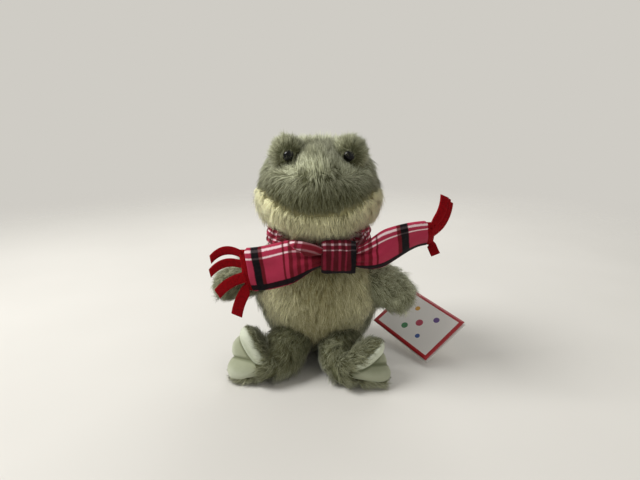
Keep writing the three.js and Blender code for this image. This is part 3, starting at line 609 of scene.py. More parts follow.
BAND_CROSS: Stripes = (
    (0, "deep"), (1.2, "field"), (4.6, "deep"), (7.0, "plum"), (9.6, "deep"), (12.6, "field"), (16.0, "deep"),
    (18.6, "plum"), (22.0, "deep"))
BAND_LENGTH: Stripes = (
    (0, "none"), (2.6, "white"), (4.4, "none"), (8.2, "white"), (10.0, "none"), (14.4, "white"),
    (16.0, "none"))


@dataclass(frozen=True)
class Dye:
    """A dye of the tartan: its colour, and how it mixes with the lines that cross it."""

    colour: str
    cover: float = 0.0  # how much of the cross lines a line along the cloth hides
    take: float = 1.0  # how much of a line along the cloth shows over it
    opaque: float = 0.0  # how black it is


DYES = {
    "field": Dye("#a9304a"), "deep": Dye("#640f1b", take=0.12), "rose": Dye("#8e2238", take=0.5),
    "wine": Dye("#4c0b15", take=0.1), "plum": Dye("#7a1d31", take=0.6),
    "black": Dye("#09080c", take=0.06, opaque=0.98), "white": Dye("#f2dadd", cover=0.95),
    "none": Dye("#a9304a"),
}


@dataclass(frozen=True)
class Tartan(Finish):
    """Brushed cotton flannel, woven in a tartan: soft edges to the lines and a fine fuzz over them."""

    cross: Stripes = TAIL_CROSS
    length: Stripes = TAIL_LENGTH
    weave: float = 0.55  # millimetres from thread to thread, coarser than life so that it shows
    fuzz: float = 0.6667  # millimetres from one brushed wisp to the next
    patch: float = 2.381  # millimetres from one worn patch to the next

    def surface(self, tree: NodeTree) -> Inputs:
        """Lays the lines that cross the scarf (u) and those along it (v), both in millimetres."""
        place = add_node(tree, "UVMap", {"uv_map": UV_NAME})
        object_place = add_node(tree, "TexCoord")
        fuzz = add_node(tree, "TexNoise", inputs={
            "Vector": object_place.outputs["Object"], "Scale": per_metre(self.fuzz), "Detail": 2.0})
        split = add_node(tree, "SeparateXYZ", inputs={0: place})
        across, along = (self.frayed(tree, split.outputs[k], fuzz) for k in (0, 1))
        cross = self.ramp(tree, across, self.cross, lambda dye: dye.colour)
        take = self.ramp(tree, across, self.cross, lambda dye: grey(dye.take))
        line = self.ramp(tree, along, self.length, lambda dye: dye.colour)
        cover = self.ramp(tree, along, self.length, lambda dye: grey(dye.cover))
        black = self.ramp(tree, along, self.length, lambda dye: grey(dye.opaque))
        shown = add_node(tree, "Math", {"operation": "MULTIPLY"}, {0: cover, 1: take})
        laid = add_node(tree, "Mix", {"data_type": "RGBA"}, {0: shown, 6: cross, 7: line})
        barred = add_node(tree, "Mix", {"data_type": "RGBA"},
                          {0: black, 6: laid.outputs[2], 7: linear(DYES["black"].colour)})
        # The brushed nap greys the dyes a little, in patches.
        patches = add_node(tree, "TexNoise", inputs={
            "Vector": object_place.outputs["Object"], "Scale": per_metre(self.patch), "Detail": 3.0})
        nap = add_node(tree, "MapRange", inputs={
            "Value": patches, "From Min": 0.3, "From Max": 0.8, "To Min": 0.0, "To Max": 0.01})
        worn = add_node(tree, "Mix", {"data_type": "RGBA"},
                        {0: nap, 6: barred.outputs[2], 7: linear("#e8c0c8")})
        thread = add_node(tree, "Mapping", {"vector_type": "POINT"}, {
            "Vector": place, "Scale": (MAP_SPAN / self.weave, MAP_SPAN / self.weave, 1.0)})
        weave = add_node(tree, "TexChecker", inputs={"Vector": thread, "Scale": 1.0})
        height = add_node(tree, "Math", {"operation": "MULTIPLY_ADD"}, {0: weave.outputs[1], 1: 0.5, 2: fuzz})
        bump = add_node(tree, "Bump", inputs={"Strength": 0.3, "Distance": 0.2 * MM, "Height": height})
        return {"Base Color": worn.outputs[2], "Normal": bump, "Roughness": 0.9,
                "Sheen Weight": 0.05, "Sheen Roughness": 0.5, "Specular IOR Level": 0.1}

    def frayed(self, tree: NodeTree, place: NodeSocket, fuzz: Node) -> Node:
        """Moves a place on the map to and fro by less than half a millimetre."""
        spread = 0.9 / MAP_SPAN
        moved = add_node(tree, "Math", {"operation": "MULTIPLY_ADD"}, {0: fuzz, 1: spread, 2: place})
        return add_node(tree, "Math", {"operation": "SUBTRACT"}, {0: moved, 1: spread / 2})

    def ramp(self, tree: NodeTree, place: Node, stripes: Stripes, code: Callable[[Dye], str]) -> Node:
        """Lays one property of a row of stripes over the map, with edges that fade over half a millimetre.

        Args:
            tree: the material's node tree.
            place: the place on the map.
            stripes: where each stripe starts, in millimetres, and its dye.
            code: gives the hex colour that stands for the property.

        Returns:
            The property at the place.
        """
        soft = 0.25
        stops = [(0.0, code(DYES[stripes[0][1]]))]
        for (_, before), (at, after) in zip(stripes, stripes[1:]):
            old, new = code(DYES[before]), code(DYES[after])
            if old != new:
                stops += [((at - soft) / MAP_SPAN, old), ((at + soft) / MAP_SPAN, new)]
        ordered = [stops[0], (1.0, stops[-1][1]), *stops[1:]]
        return add_node(tree, "ValToRGB", inputs={0: place}, stops=ordered)


def grey(share: float) -> str:
    """A hex grey whose linear value is about the share."""
    curved = share * SLOPE if share <= TOE / SLOPE else (1 + OFFSET) * share ** (1 / POWER) - OFFSET
    level = round(255 * curved)
    return f"#{level:02x}{level:02x}{level:02x}"


@dataclass(frozen=True)
class Card(Finish):
    """Coated card, printed with a red border and plain dots on white."""

    width: float
    length: float
    border: float = 3.3
    white: str = "#e0dcd7"
    red: str = "#a5121c"
    # Plain dots in a scattered ring: their places, radii and colours.
    dots: tuple[tuple[float, float, float, str], ...] = (
        (14.0, 40.0, 3.0, "#3c7a4e"), (34.5, 43.5, 2.4, "#c8932f"), (24.0, 31.0, 3.4, "#a8324a"),
        (13.0, 22.5, 2.2, "#35538f"), (35.0, 20.5, 2.8, "#5b3f7f"),
    )

    def surface(self, tree: NodeTree) -> Inputs:
        """Prints the border and the dots from the map, which is in millimetres of card."""
        place = add_node(tree, "UVMap", {"uv_map": UV_NAME})
        split = add_node(tree, "SeparateXYZ", inputs={0: place})
        x, y = (add_node(tree, "Math", {"operation": "MULTIPLY"}, {0: split.outputs[k], 1: MAP_SPAN})
                for k in (0, 1))
        inside: Node | float = 1.0
        for axis, size in ((x, self.width), (y, self.length)):
            centred = add_node(tree, "Math", {"operation": "SUBTRACT"}, {0: axis, 1: size / 2})
            away = add_node(tree, "Math", {"operation": "ABSOLUTE"}, {0: centred})
            within = add_node(tree, "Math", {"operation": "LESS_THAN"}, {0: away, 1: size / 2 - self.border})
            inside = add_node(tree, "Math", {"operation": "MULTIPLY"}, {0: within, 1: inside})
        printed = add_node(tree, "Mix", {"data_type": "RGBA"},
                           {0: inside, 6: linear(self.red), 7: linear(self.white)})
        colour = printed.outputs[2]
        spot = add_node(tree, "CombineXYZ", inputs={0: x, 1: y, 2: 0.0})
        for dot_x, dot_y, radius, code in self.dots:
            away = add_node(tree, "VectorMath", {"operation": "DISTANCE"}, {0: spot, 1: (dot_x, dot_y, 0.0)})
            dot = add_node(tree, "Math", {"operation": "LESS_THAN"}, {0: away.outputs[1], 1: radius})
            mixed = add_node(tree, "Mix", {"data_type": "RGBA"}, {0: dot, 6: colour, 7: linear(code)})
            colour = mixed.outputs[2]
        return {"Base Color": colour, "Roughness": 0.35, "IOR": 1.5}


class Shade(Enum):
    """The two colours of the pile."""

    SAGE = "green_fur"
    CREAM = "cream_fur"


# The toy's forms


@dataclass(frozen=True)
class Torso:
    """The body's form: level rings with their own width, front and back."""

    height: float = 114
    half_width: float = 53
    front_depth: float = 45
    back_depth: float = 42
    seam_front: float = 17
    widths: Table = Table(((0, 0.47), (0.05, 0.59), (0.18, 0.75), (0.36, 0.91), (0.52, 1), (0.66, 0.98),
                           (0.78, 0.86), (0.87, 0.71), (0.94, 0.61), (1, 0.55)))
    fronts: Table = Table(((0, 0.1), (0.05, 0.25), (0.12, 0.44), (0.2, 0.62), (0.32, 0.82), (0.45, 0.95),
                           (0.56, 1), (0.7, 0.95), (0.82, 0.8), (0.92, 0.66), (1, 0.6)))
    backs: Table = Table(((0, 0.6), (0.05, 0.74), (0.2, 0.94), (0.4, 1), (0.6, 0.98), (0.75, 0.88),
                          (0.87, 0.74), (1, 0.58)))

    def width_at(self, z: Array) -> Array:
        """The half width at a height."""
        return self.half_width * self.widths.at(z / self.height)

    def front_at(self, z: Array) -> Array:
        """The depth of the front at a height."""
        return self.front_depth * self.fronts.at(z / self.height)

    def back_at(self, z: Array) -> Array:
        """The depth of the back at a height."""
        return self.back_depth * self.backs.at(z / self.height)

    def skin(self, grow: float, rows: int = 30, sides: int = 56) -> Surface:
        """The body's closed form, grown by a distance: x = width cos a, y = depth sin a at each height."""
        share, angle = ring_grid(rows, sides)
        z = share * self.height
        x = (self.width_at(z) + grow) * np.cos(angle)
        depth = np.where(np.sin(angle) < 0, self.front_at(z), self.back_at(z)) + grow
        level = z + grow * (2 * share - 1) + 0 * angle
        return Surface.loft(np.stack([x, depth * np.sin(angle), level], axis=-1))

    def covers(self, points: Array, grow: float) -> Flags:
        """True for points inside the form grown by a distance."""
        x, y, z = points.T
        level = (z + grow) / (self.height + 2 * grow) * self.height
        depth = np.where(y < 0, self.front_at(level), self.back_at(level)) + grow
        inside = (x / (self.width_at(level) + grow)) ** 2 + (y / depth) ** 2 < 1
        return inside & (z > -grow) & (z < self.height + grow)


@dataclass(frozen=True)
class Head:
    """The head's form: level rings, with a muzzle that stands out of the front's middle."""

    base: float = 114.35
    height: float = 66
    half_width: float = 50
    front_depth: float = 55
    back_depth: float = 39
    muzzle_half_width: float = 16
    mouth_drop: float = 46
    mouth_rise: float = 17
    jaw_back: float = 10
    widths: Table = Table(((0, 0.81), (0.08, 0.91), (0.25, 0.98), (0.45, 1), (0.58, 0.93), (0.72, 0.85),
                           (0.84, 0.76), (0.93, 0.6), (0.985, 0.32), (1, 0.2)))
    fronts: Table = Table(((0, 0.74), (0.08, 0.87), (0.25, 0.96), (0.45, 1), (0.58, 0.99), (0.72, 0.9),
                           (0.84, 0.72), (0.93, 0.5), (0.985, 0.26), (1, 0.18)))
    skulls: Table = Table(((0, 0.74), (0.08, 0.87), (0.25, 0.95), (0.45, 0.97), (0.58, 0.87), (0.72, 0.57),
                           (0.84, 0.33), (0.93, 0.22), (1, 0.12)))
    backs: Table = Table(((0, 0.76), (0.08, 0.88), (0.25, 0.97), (0.45, 1), (0.7, 0.96), (0.84, 0.86),
                          (0.93, 0.7), (0.985, 0.4), (1, 0.24)))

    def sizes(self, share: Array) -> tuple[Array, Array, Array, Array]:
        """The half width, skull front, muzzle bump and back depth at a share of the height."""
        skull = self.front_depth * self.skulls.at(share)
        bump = np.maximum(self.front_depth * self.fronts.at(share) - skull, 0)
        return self.half_width * self.widths.at(share), skull, bump, self.back_depth * self.backs.at(share)

    def at(self, share: Array, angle: Array, grow: float) -> Array:
        """Points of the form: an oval ring at each height with the muzzle's bump added at the front."""
        width, skull, bump, back = self.sizes(share)
        x = (width + grow) * np.cos(angle)
        n = np.sin(angle)
        out = bump * np.exp(-((x / self.muzzle_half_width) ** 2)) * np.sqrt(np.abs(n))
        y = np.where(n < 0, (skull + grow) * n - out, (back + grow) * n)
        z = self.base + share * self.height + grow * (2 * share - 1)
        return np.stack(np.broadcast_arrays(x, y, z), axis=-1)

    def mouth_height(self, x: Array, y: Array) -> Array:
        """The height of the mouth seam, which rises to the cheeks and falls away behind them."""
        crown = self.base + self.height
        arc = crown - self.mouth_drop + self.mouth_rise * np.minimum((x / self.half_width) ** 2, 1)
        behind = smooth(0, self.jaw_back, y)
        return arc * (1 - behind) + (self.base - FLOOR_CUT) * behind

    def seam_share(self, angle: Array, grow: float) -> Array:
        """The share of the height where the form meets the mouth seam, by repeated halving."""
        low, high = np.zeros_like(angle), np.ones_like(angle)
        for _ in range(24):
            middle = (low + high) / 2
            x, y, z = np.moveaxis(self.at(middle, angle, grow), -1, 0)
            below = z < self.mouth_height(x, y)
            low, high = np.where(below, middle, low), np.where(below, high, middle)
        return np.maximum(low, 0.03)

    def core(self, grow: float, rows: int = 24, sides: int = 48) -> Surface:
        """The whole head's closed form, for what fills it."""
        share, angle = ring_grid(rows, sides)
        return Surface.loft(self.at(share + 0 * angle, angle + 0 * share, grow))

    def skin(self, grow: float, lower: bool, rows: int = 20, sides: int = 64) -> Surface:
        """The jaw's or the upper head's closed form, up to or down to the mouth seam."""
        step, angle = ring_grid(rows, sides)
        seam = self.seam_share(angle, grow)
        share = seam * step if lower else seam + (1 - seam) * step
        return Surface.loft(self.at(share, angle + 0 * share, grow))

    def covers(self, points: Array, grow: float) -> Flags:
        """True for points inside the form grown by a distance."""
        x, y, z = points.T
        share = np.clip((z - self.base + grow) / (self.height + 2 * grow), 0, 1)
        width, skull, bump, back = self.sizes(share)
        c = x / (width + grow)
        s = np.sqrt(np.clip(1 - c * c, 0, 1))
        front = (skull + grow) * s + bump * np.exp(-((x / self.muzzle_half_width) ** 2)) * np.sqrt(s)
        inside = (np.abs(c) < 1) & (y > -front) & (y < (back + grow) * s)
        return inside & (z > self.base - grow) & (z < self.base + self.height + grow)


@dataclass(frozen=True)
class Mound:
    """The stuffed bump that an eye sits in."""

    centre: Triple
    halves: Triple = (13.5, 14.0, 14.5)

    def skin(self, grow: float, rows: int = 16, sides: int = 28) -> Surface:
        """An ellipsoid, by its latitude and longitude."""
        latitude = np.linspace(-np.pi / 2, np.pi / 2, rows + 2)[1:-1, None]
        _, longitude = ring_grid(rows, sides)
        a, b, c = (h + grow for h in self.halves)
        x = a * np.cos(latitude) * np.cos(longitude)
        y = b * np.cos(latitude) * np.sin(longitude)
        z = c * np.sin(latitude) + 0 * longitude
        return Surface.loft(np.stack([x, y, z], axis=-1) + np.array(self.centre))

    def covers(self, points: Array, grow: float) -> Flags:
        """True for points inside the form grown by a distance."""
        return (((points - np.array(self.centre)) / (np.array(self.halves) + grow)) ** 2).sum(axis=1) < 1


@dataclass(frozen=True)
class Limb:
    """An arm or a leg: a round tube that swells at its middle, from its root ball to its round end."""

    pivot: Triple
    heading: float
    fall: float
    length: float
    root: float
    middle: float
    end: float

    @property
    def way(self) -> Array:
        """The direction from the root to the end."""
        return bearing(self.heading, -self.fall)

    @property
    def tip(self) -> Array:
        """The middle of the round end."""
        return np.array(self.pivot) + self.way * self.length

    def radius(self, t: Array) -> Array:
        """The quadratic through the root's, the middle's and the end's radius."""
        return self.root * (1 - t) * (1 - 2 * t) + self.middle * 4 * t * (1 - t) + self.end * t * (2 * t - 1)

    def skin(self, grow: float, rows: int = 12, sides: int = 28) -> Surface:
        """Rings along the tube, closed by half a ball at each end."""
        across = unit(np.cross(self.way, [0, 0, 1]))
        deep = np.cross(across, self.way)
        t = np.linspace(0, 1, rows)
        cap = np.linspace(0, np.pi / 2, 7)[1:-1]
        place = np.concatenate([-(self.root + grow) * np.sin(cap[::-1]), t * self.length,
                                self.length + (self.end + grow) * np.sin(cap)])
        radius = np.concatenate([(self.root + grow) * np.cos(cap[::-1]), self.radius(t) + grow,
                                 (self.end + grow) * np.cos(cap)])
        angle = np.linspace(0, 2 * np.pi, sides, endpoint=False)[:, None]
        ring = np.cos(angle) * across + np.sin(angle) * deep
        points = np.array(self.pivot) + place[:, None, None] * self.way + radius[:, None, None] * ring
        return Surface.loft(above_floor(points))

    def covers(self, points: Array, grow: float) -> Flags:
        """True for points inside the form grown by a distance."""
        local = points - np.array(self.pivot)
        along = local @ self.way
        away = np.linalg.norm(local - along[:, None] * self.way, axis=1)
        t = np.clip(along / self.length, 0, 1)
        over = along - t * self.length
        return np.hypot(away, over) < self.radius(t) + grow


@dataclass(frozen=True)
class Toe:
    """A stuffed lobe of the foot, one half of velour and the other of fur."""

    heel: Triple
    heading: float
    slope: float
    length_share: float
    inward: Triple
    full_length: float = 45
    width: float = 22.5
    thickness: float = 16
    flat: float = 1.6  # how deep a half is on its far side
    overlap: float = 0.24
    heel_dome: float = 0.12  # the shares of the length over which the ends close
    tip_dome: float = 0.14
    swells: Table = Table(((0, 0.5), (0.25, 0.8), (0.55, 1), (0.8, 0.95), (0.94, 0.72), (1, 0.55)))

    @property
    def length(self) -> float:
        """The lobe's own length."""
        return self.full_length * self.length_share

    @property
    def axes(self) -> tuple[Array, Array, Array]:
        """The way along the lobe, across it, and towards its velour side."""
        way = bearing(self.heading, self.slope)
        inward = np.array(self.inward)
        inward = unit(inward - way * (inward @ way))
        return way, np.cross(way, inward), inward

    @property
    def start(self) -> Array:
        """Where the lobe begins, inside the heel."""
        return np.array(self.heel) - self.axes[0] * self.length * self.overlap

    def half(self, velour: bool, grow: float, rows: int = 26, sides: int = 32) -> Surface:
        """One closed half of the lobe: an oval ring whose far side is nearly flat.

        The ring is width cos a by depth sin a, with the full depth on the side that the half faces and
        a shallow one on the other. The ends close like a dome.
        """
        way, across, inward = self.axes
        s, angle = ring_grid(rows, sides)
        beyond = np.clip((s - 1 + self.tip_dome) / self.tip_dome, 0, 1)
        before = np.clip((self.heel_dome - s) / self.heel_dome, 0, 1)
        close = np.maximum(np.sqrt((1 - beyond**2) * (1 - before**2)), 0.02)
        swell = self.swells.at(s) * close
        deep = np.where(np.sin(angle) > 0, self.thickness / 2, self.flat)
        c = (self.width / 2 * swell + grow * np.sqrt(close)) * np.cos(angle)
        n = (deep * swell + grow * np.sqrt(close)) * np.sin(angle) * (1 if velour else -1)
        points = (self.start + (s * self.length)[..., None] * way + c[..., None] * across
                  + n[..., None] * inward)
        return Surface.loft(above_floor(points))

    def off_axis(self, points: Array) -> Array:
        """How far points lie from the lobe's own line."""
        local = points - self.start
        along = np.clip(local @ self.axes[0], 0, self.length)
        return np.linalg.norm(local - along[:, None] * self.axes[0], axis=1)

    def shares(self, points: Array, grow: float = 0.0) -> tuple[Array, Array, Array]:
        """Where points lie along the lobe, across it and through it, as shares of its own sizes there."""
        way, across, inward = self.axes
        local = points - self.start
        s = local @ way / self.length
        swell = self.swells.at(np.clip(s, 0, 1))
        a = (local @ across) / (self.width / 2 * swell + grow)
        b = (local @ inward) / (self.thickness / 2 * swell + grow)
        return s, a, b

    def covers(self, points: Array, grow: float) -> Flags:
        """True for points inside the lobe grown by a distance."""
        s, a, b = self.shares(points, grow)
        return (a * a + b * b < 1) & (s > -grow / self.length) & (s < 1 + grow / self.length)

    def rim(self, points: Array) -> Array:
        """One at the lobe's rim and none in its middle."""
        s, a, _ = self.shares(points)
        return np.clip(np.hypot(a, np.maximum(s - 0.62, 0) / 0.36), 0, 1)

    def closeness(self, points: Array, reach: float) -> Array:
        """One for points in the lobe, falling to none at some times its own size."""
        s, a, b = self.shares(points)
        return smooth(reach, 1.0, np.hypot(np.hypot(a, b), np.maximum(s - 0.9, 0) / 0.2))


# Fur


def even(value: float) -> Place:
    """The same value all over a skin."""
    return lambda roots: np.full(len(roots), value)


@dataclass(frozen=True)
class Grooming:
    """How a pile is combed and cut from place to place: its lie, its bare places, tone, length and lift."""

    lie: Lie
    keep: Keep
    tone: Place = even(0.5)
    trim: Place = even(1.0)
    rise: Place = even(0.0)  # degrees on top of the pile's own lift


@dataclass(frozen=True)
class Pile:
    """One coat of fibres: each is a three-sided spike that bends over once on its way to the tip."""

    density: float  # fibres on each square millimetre
    length: float
    spread: float  # how much shorter or longer the fibres are, as a share
    width: float
    root_lift: float  # degrees above the skin
    tip_lift: float
    clump: float  # millimetres from one lock of fibres to the next
    gather: float  # the share by which a lock's tips are drawn together
    wander: float  # degrees by which the lie of the pile wanders
    seed: int
    shag: float = 0.3  # how much a lock's own length varies, as a share
    mottle: float = 0.16  # how much a lock's own tone varies
    most: int = 19000  # fibres in one piece

    def grow(self, skin: Surface, grooming: Grooming) -> list[Surface]:
        """Grows the fibres on a skin.

        Args:
            skin: the closed skin that they stand on.
            grooming: how the pile is combed and cut.

        Returns:
            The fibres with their map, shared out over as many surfaces as their number asks for.
        """
        rng = np.random.default_rng(self.seed)
        roots, normals = self.sow(skin, rng)
        kept = grooming.keep(roots, normals)
        roots, normals = roots[kept], normals[kept]
        count = len(roots)
        lock, lock_id = self.locks(roots)
        comb = grooming.lie(roots, normals)
        comb = unit(comb - normals * (comb * normals).sum(axis=1, keepdims=True))
        side = np.cross(normals, comb)
        turn = np.radians(self.wander) * (wandering(roots, 21.0, self.seed)
                                          + 0.7 * (2 * scatter(lock_id, 3.0) - 1)
                                          + 0.35 * rng.normal(size=count))
        comb = comb * np.cos(turn)[:, None] + side * np.sin(turn)[:, None]
        length = self.length * (1 + self.spread * rng.uniform(-1, 1, count))
        length *= (1 + self.shag * (2 * scatter(lock_id, 9.0) - 1)) * grooming.trim(roots)
        jitter = rng.normal(size=(2, count)) * 5
        rise = grooming.rise(roots)
        low = np.radians(self.root_lift + rise + jitter[0])[:, None]
        high = np.radians(self.tip_lift + rise + jitter[1])[:, None]
        step = length[:, None] / 2
        base = roots - normals * ROOT_DEPTH
        middle = base + step * (comb * np.cos(low) + normals * np.sin(low))
        tip = middle + step * (comb * np.cos(high) + normals * np.sin(high))
        pull = lock - roots
        pull -= normals * (pull * normals).sum(axis=1, keepdims=True)
        middle += 0.35 * self.gather * pull
        tip += self.gather * pull
        light = grooming.tone(roots) + 0.14 * rng.normal(size=count)
        light += self.mottle * (scatter(lock_id, 5.0) - 0.5)
        light = np.clip(light, 0.02, 0.98)
        parts = -(-count // self.most)
        return [self.spikes(*(values[k::parts] for values in (base, middle, tip, normals, light)), rng)
                for k in range(parts)]

    def sow(self, skin: Surface, rng: np.random.Generator) -> tuple[Array, Array]:
        """Scatters roots over a skin, as many on each triangle as its area asks for."""
        tri = skin.triangles()
        a, b, c = (skin.points[tri[:, k]] for k in range(3))
        cross = np.cross(b - a, c - a)
        area = np.linalg.norm(cross, axis=1) / 2
        at_points = np.zeros_like(skin.points)
        for k in range(3):
            np.add.at(at_points, tri[:, k], cross)
        at_points = unit(at_points)
        count = int(area.sum() * self.density)
        which = rng.choice(len(tri), count, p=area / area.sum())
        p, q = np.sqrt(rng.random(count)), rng.random(count)
        shares = np.stack([1 - p, p * (1 - q), p * q], axis=1)[..., None]
        roots = (skin.points[tri[which]] * shares).sum(axis=1)
        normals = unit((at_points[tri[which]] * shares).sum(axis=1))
        return roots, normals

    def locks(self, roots: Array) -> tuple[Array, Array]:
        """The nearest lock of each root, on a lattice whose places are each shifted at random."""
        cell = np.floor(roots / self.clump)
        best = np.full(len(roots), np.inf)
        lock = np.zeros_like(roots)
        lock_id = np.zeros_like(roots)
        for step in np.stack(np.meshgrid(*[[-1, 0, 1]] * 3), -1).reshape(-1, 3):
            near = cell + step
            shift = np.stack([scatter(near, self.seed + k) for k in range(3)], axis=1)
            centre = (near + shift) * self.clump
            away = ((centre - roots) ** 2).sum(axis=1)
            closer = away < best
            best = np.where(closer, away, best)
            lock[closer] = centre[closer]
            lock_id[closer] = near[closer]
        return lock, lock_id

    def spikes(
        self, base: Array, middle: Array, tip: Array, normals: Array, light: Array, rng: np.random.Generator
    ) -> Surface:
        """Builds the spikes: a ring of three at the root and at the bend, and one point at the tip."""
        count = len(base)
        for points in (base, middle, tip):
            above_floor(points)
        axis = unit(tip - base)
        first = unit(np.cross(axis, normals))
        second = np.cross(axis, first)
        angle = np.radians([90.0, 210.0, 330.0])[None, :] + rng.uniform(-0.5, 0.5, count)[:, None]
        ring = np.cos(angle)[..., None] * first[:, None] + np.sin(angle)[..., None] * second[:, None]
        radius = self.width / 2
        points = np.concatenate([base[:, None] + ring * radius, middle[:, None] + ring * radius * 0.8,
                                 tip[:, None]], axis=1)
        order = np.array([0, 1, 4, 3, 1, 2, 5, 4, 2, 0, 3, 5, 3, 4, 6, 4, 5, 6, 5, 3, 6, 0, 2, 1])
        face_starts = np.array([0, 4, 8, 12, 15, 18, 21])
        corners = (np.arange(count)[:, None] * SPIKE_POINTS + order).ravel()
        starts = (np.arange(count)[:, None] * len(order) + face_starts).ravel()
        across = np.array([-1, 0, 1, -1, 0, 1, 0]) * 0.004
        u = light[:, None] + across
        # Where the pile is toned pale, which is partly painted light, its roots lose their painted shade too.
        root = 0.02 + np.clip(3 * (light - 0.5), 0, 0.45)[:, None]
        v = root + (0.98 - root) * np.array([0, 0, 0, 0.5, 0.5, 0.5, 1])
        uv = np.stack([u, v], axis=-1).reshape(-1, 2)[corners]
        soft = 0.62
        shade = normals[:, None] * soft + np.concatenate([ring, ring, axis[:, None]], axis=1) * (1 - soft)
        return Surface(points.reshape(-1, 3), corners, starts, uv, unit(shade.reshape(-1, 3)))


def double_pile(
    density: float, length: float, seed: int, wander: float = 20.0, width: float = 0.36, clump: float = 3.4,
    mottle: float = 0.16,
) -> tuple[Pile, Pile]:
    """A dense under-pile and, over it, fewer and longer guard hairs.

    Args:
        density: under-pile fibres on each square millimetre.
        length: how long the guard hairs are.
        seed: the seed of both piles.
        wander: degrees by which the lie of the pile wanders.
        width: how wide an under-pile fibre is.
        clump: millimetres from one lock of guard hairs to the next.
        mottle: how much a lock's own tone varies.

    Returns:
        The under-pile and the guard hairs.
    """
    under = Pile(density, length * 0.74, 0.2, width, 44, 18, clump * 0.75, 0.35, wander * 0.8, seed)
    gather = 0.45 + 0.5 * (mottle - 0.16)
    guard = Pile(density * 0.65, length, 0.28, width * 0.85, 40, 13, clump, gather, wander, seed + 100,
                 mottle=mottle)
    return under, guard


@dataclass(frozen=True)
class Coat:
    """A skin with its coats of fibre, on one body."""

    name: str
    body: str
    nodes: tuple[str, ...]
    shade: Shade
    piles: tuple[Pile, ...]

    def dress(self, skins: list[Surface], finishes: "Finishes", grooming: Grooming) -> None:
        """Makes the skin's piece and one piece for each pile, and ties them to the body.

        Args:
            skins: the closed skins of this cover, already stuffed.
            finishes: the toy's materials.
            grooming: how the pile is combed and cut.
        """
        skin = Surface.joined(skins)
        backing = skin.piece(f"{self.name}_skin", finishes.backing(self.shade))
        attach(backing, self.body)
        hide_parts(*self.nodes)
        grown = [fibres for pile in self.piles for fibres in pile.grow(skin, grooming)]
        for number, fibres in enumerate(grown, 1):
            piece = fibres.piece(f"{self.name}_pile_{number}", finishes.fur(self.shade))
            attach(piece, self.body)
            log.info("%s: %d fibres", piece.name, len(fibres.points) // SPIKE_POINTS)


@dataclass
class Finishes:
    """The toy's materials, each made once."""

    made: dict[str, Material] = field(default_factory=dict)

    def get(self, finish: Finish) -> Material:
        """The material of a finish."""
        if finish.name not in self.made:
            self.made[finish.name] = finish.material()
        return self.made[finish.name]

    def fur(self, shade: Shade) -> Material:
        """The pile of a shade."""
        if shade is Shade.SAGE:
            return self.get(Fur("sage_acrylic_pile", "#504f32", "#8f9071", "#c4c6a8", "#6a684d", "#ffffff"))
        return self.get(Fur("cream_acrylic_pile", "#857f57", "#c2bd90", "#e7e4be", "#70684a", "#ffffff"))

    def wadding(self) -> Material:
        """The filling of the soft forms."""
        return self.get(Wadding("polyester_wadding", "#f2f1ec", "#dedcd2"))

    def backing(self, shade: Shade) -> Material:
        """The backing of a shade."""
        if shade is Shade.SAGE:
            return self.get(Backing("sage_knitted_backing", "#55563d", "#43442f"))
        return self.get(Backing("cream_knitted_backing", "#a39d73", "#8c8660"))


# Sub-assemblies


@dataclass
class Body:
    """The body's two covers, cream in front and sage behind, and its filling."""

    torso: Torso
    limbs: list[Limb]
    inset: float = 2.2
    wadding_inset: float = 9.5
    limb_overlap: float = 4.5  # how far the pile goes on under a limb
    scarf_bottom: float = 99.0
    filling: Filling = Filling(voxel=4.0, travel=1.2)

    def lie(self, roots: Array, normals: Array) -> Array:
        """The pile hangs down, spreads a little to the sides and closes over the side seams."""
        past = roots[:, 1] + self.torso.seam_front
        over = -0.7 * np.sign(past) * smooth(9, 1, np.abs(past))
        return np.stack([0.25 * roots[:, 0] / self.torso.half_width, over, -1 + 0 * roots[:, 2]], 1)

    def keep(self, roots: Array, normals: Array) -> Flags:
        """Leaves bare what the scarf, the limbs and the seat hide."""
        bare = (roots[:, 2] > self.scarf_bottom) | (normals[:, 2] < -0.75)
        for limb in self.limbs:
            bare |= limb.covers(roots, -self.limb_overlap)
        return ~bare & ~self.torso.covers(roots, -self.inset - BURIED)

    def tone(self, roots: Array) -> Array:
        """Darker down the middle of the belly, with painted shade under the scarf and painted light on the
        toy's right, the side the light falls on.
        """
        x, y, z = roots.T
        belly = 0.55 - 0.25 * np.exp(-((x / 30) ** 2)) - 0.13 * smooth(62, 84, z) + 0.14 * smooth(-10, -30, x)
        return np.where(y < -self.torso.seam_front + 3, belly, 0.4)

    def build(self, finishes: Finishes) -> None:
        """Splits the form at the side seams, stuffs both covers and dresses them."""
        whole = self.torso.skin(-self.inset)
        grooming = Grooming(self.lie, self.keep, self.tone)
        for front, name, shade, piles in (
            (True, "belly", Shade.CREAM, double_pile(2.1, 10.5, 11, width=0.34)),
            (False, "back", Shade.SAGE, double_pile(1.2, 11.0, 12, width=0.44)),
        ):
            cover = self.filling.fill(cut(whole, -self.torso.seam_front, front))
            Coat(name, "body", (f"{name}_panel",), shade, piles).dress([cover], finishes, grooming)
        wad(self.torso.skin(-self.wadding_inset), "body_wadding", "body", "body_stuffing", finishes)


def wad(form: Surface, name: str, body: str, node: str, finishes: Finishes) -> None:
    """Puts wadding inside a cover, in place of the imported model's own."""
    wadding = form.piece(name, finishes.wadding())
    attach(wadding, body)
    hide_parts(node)


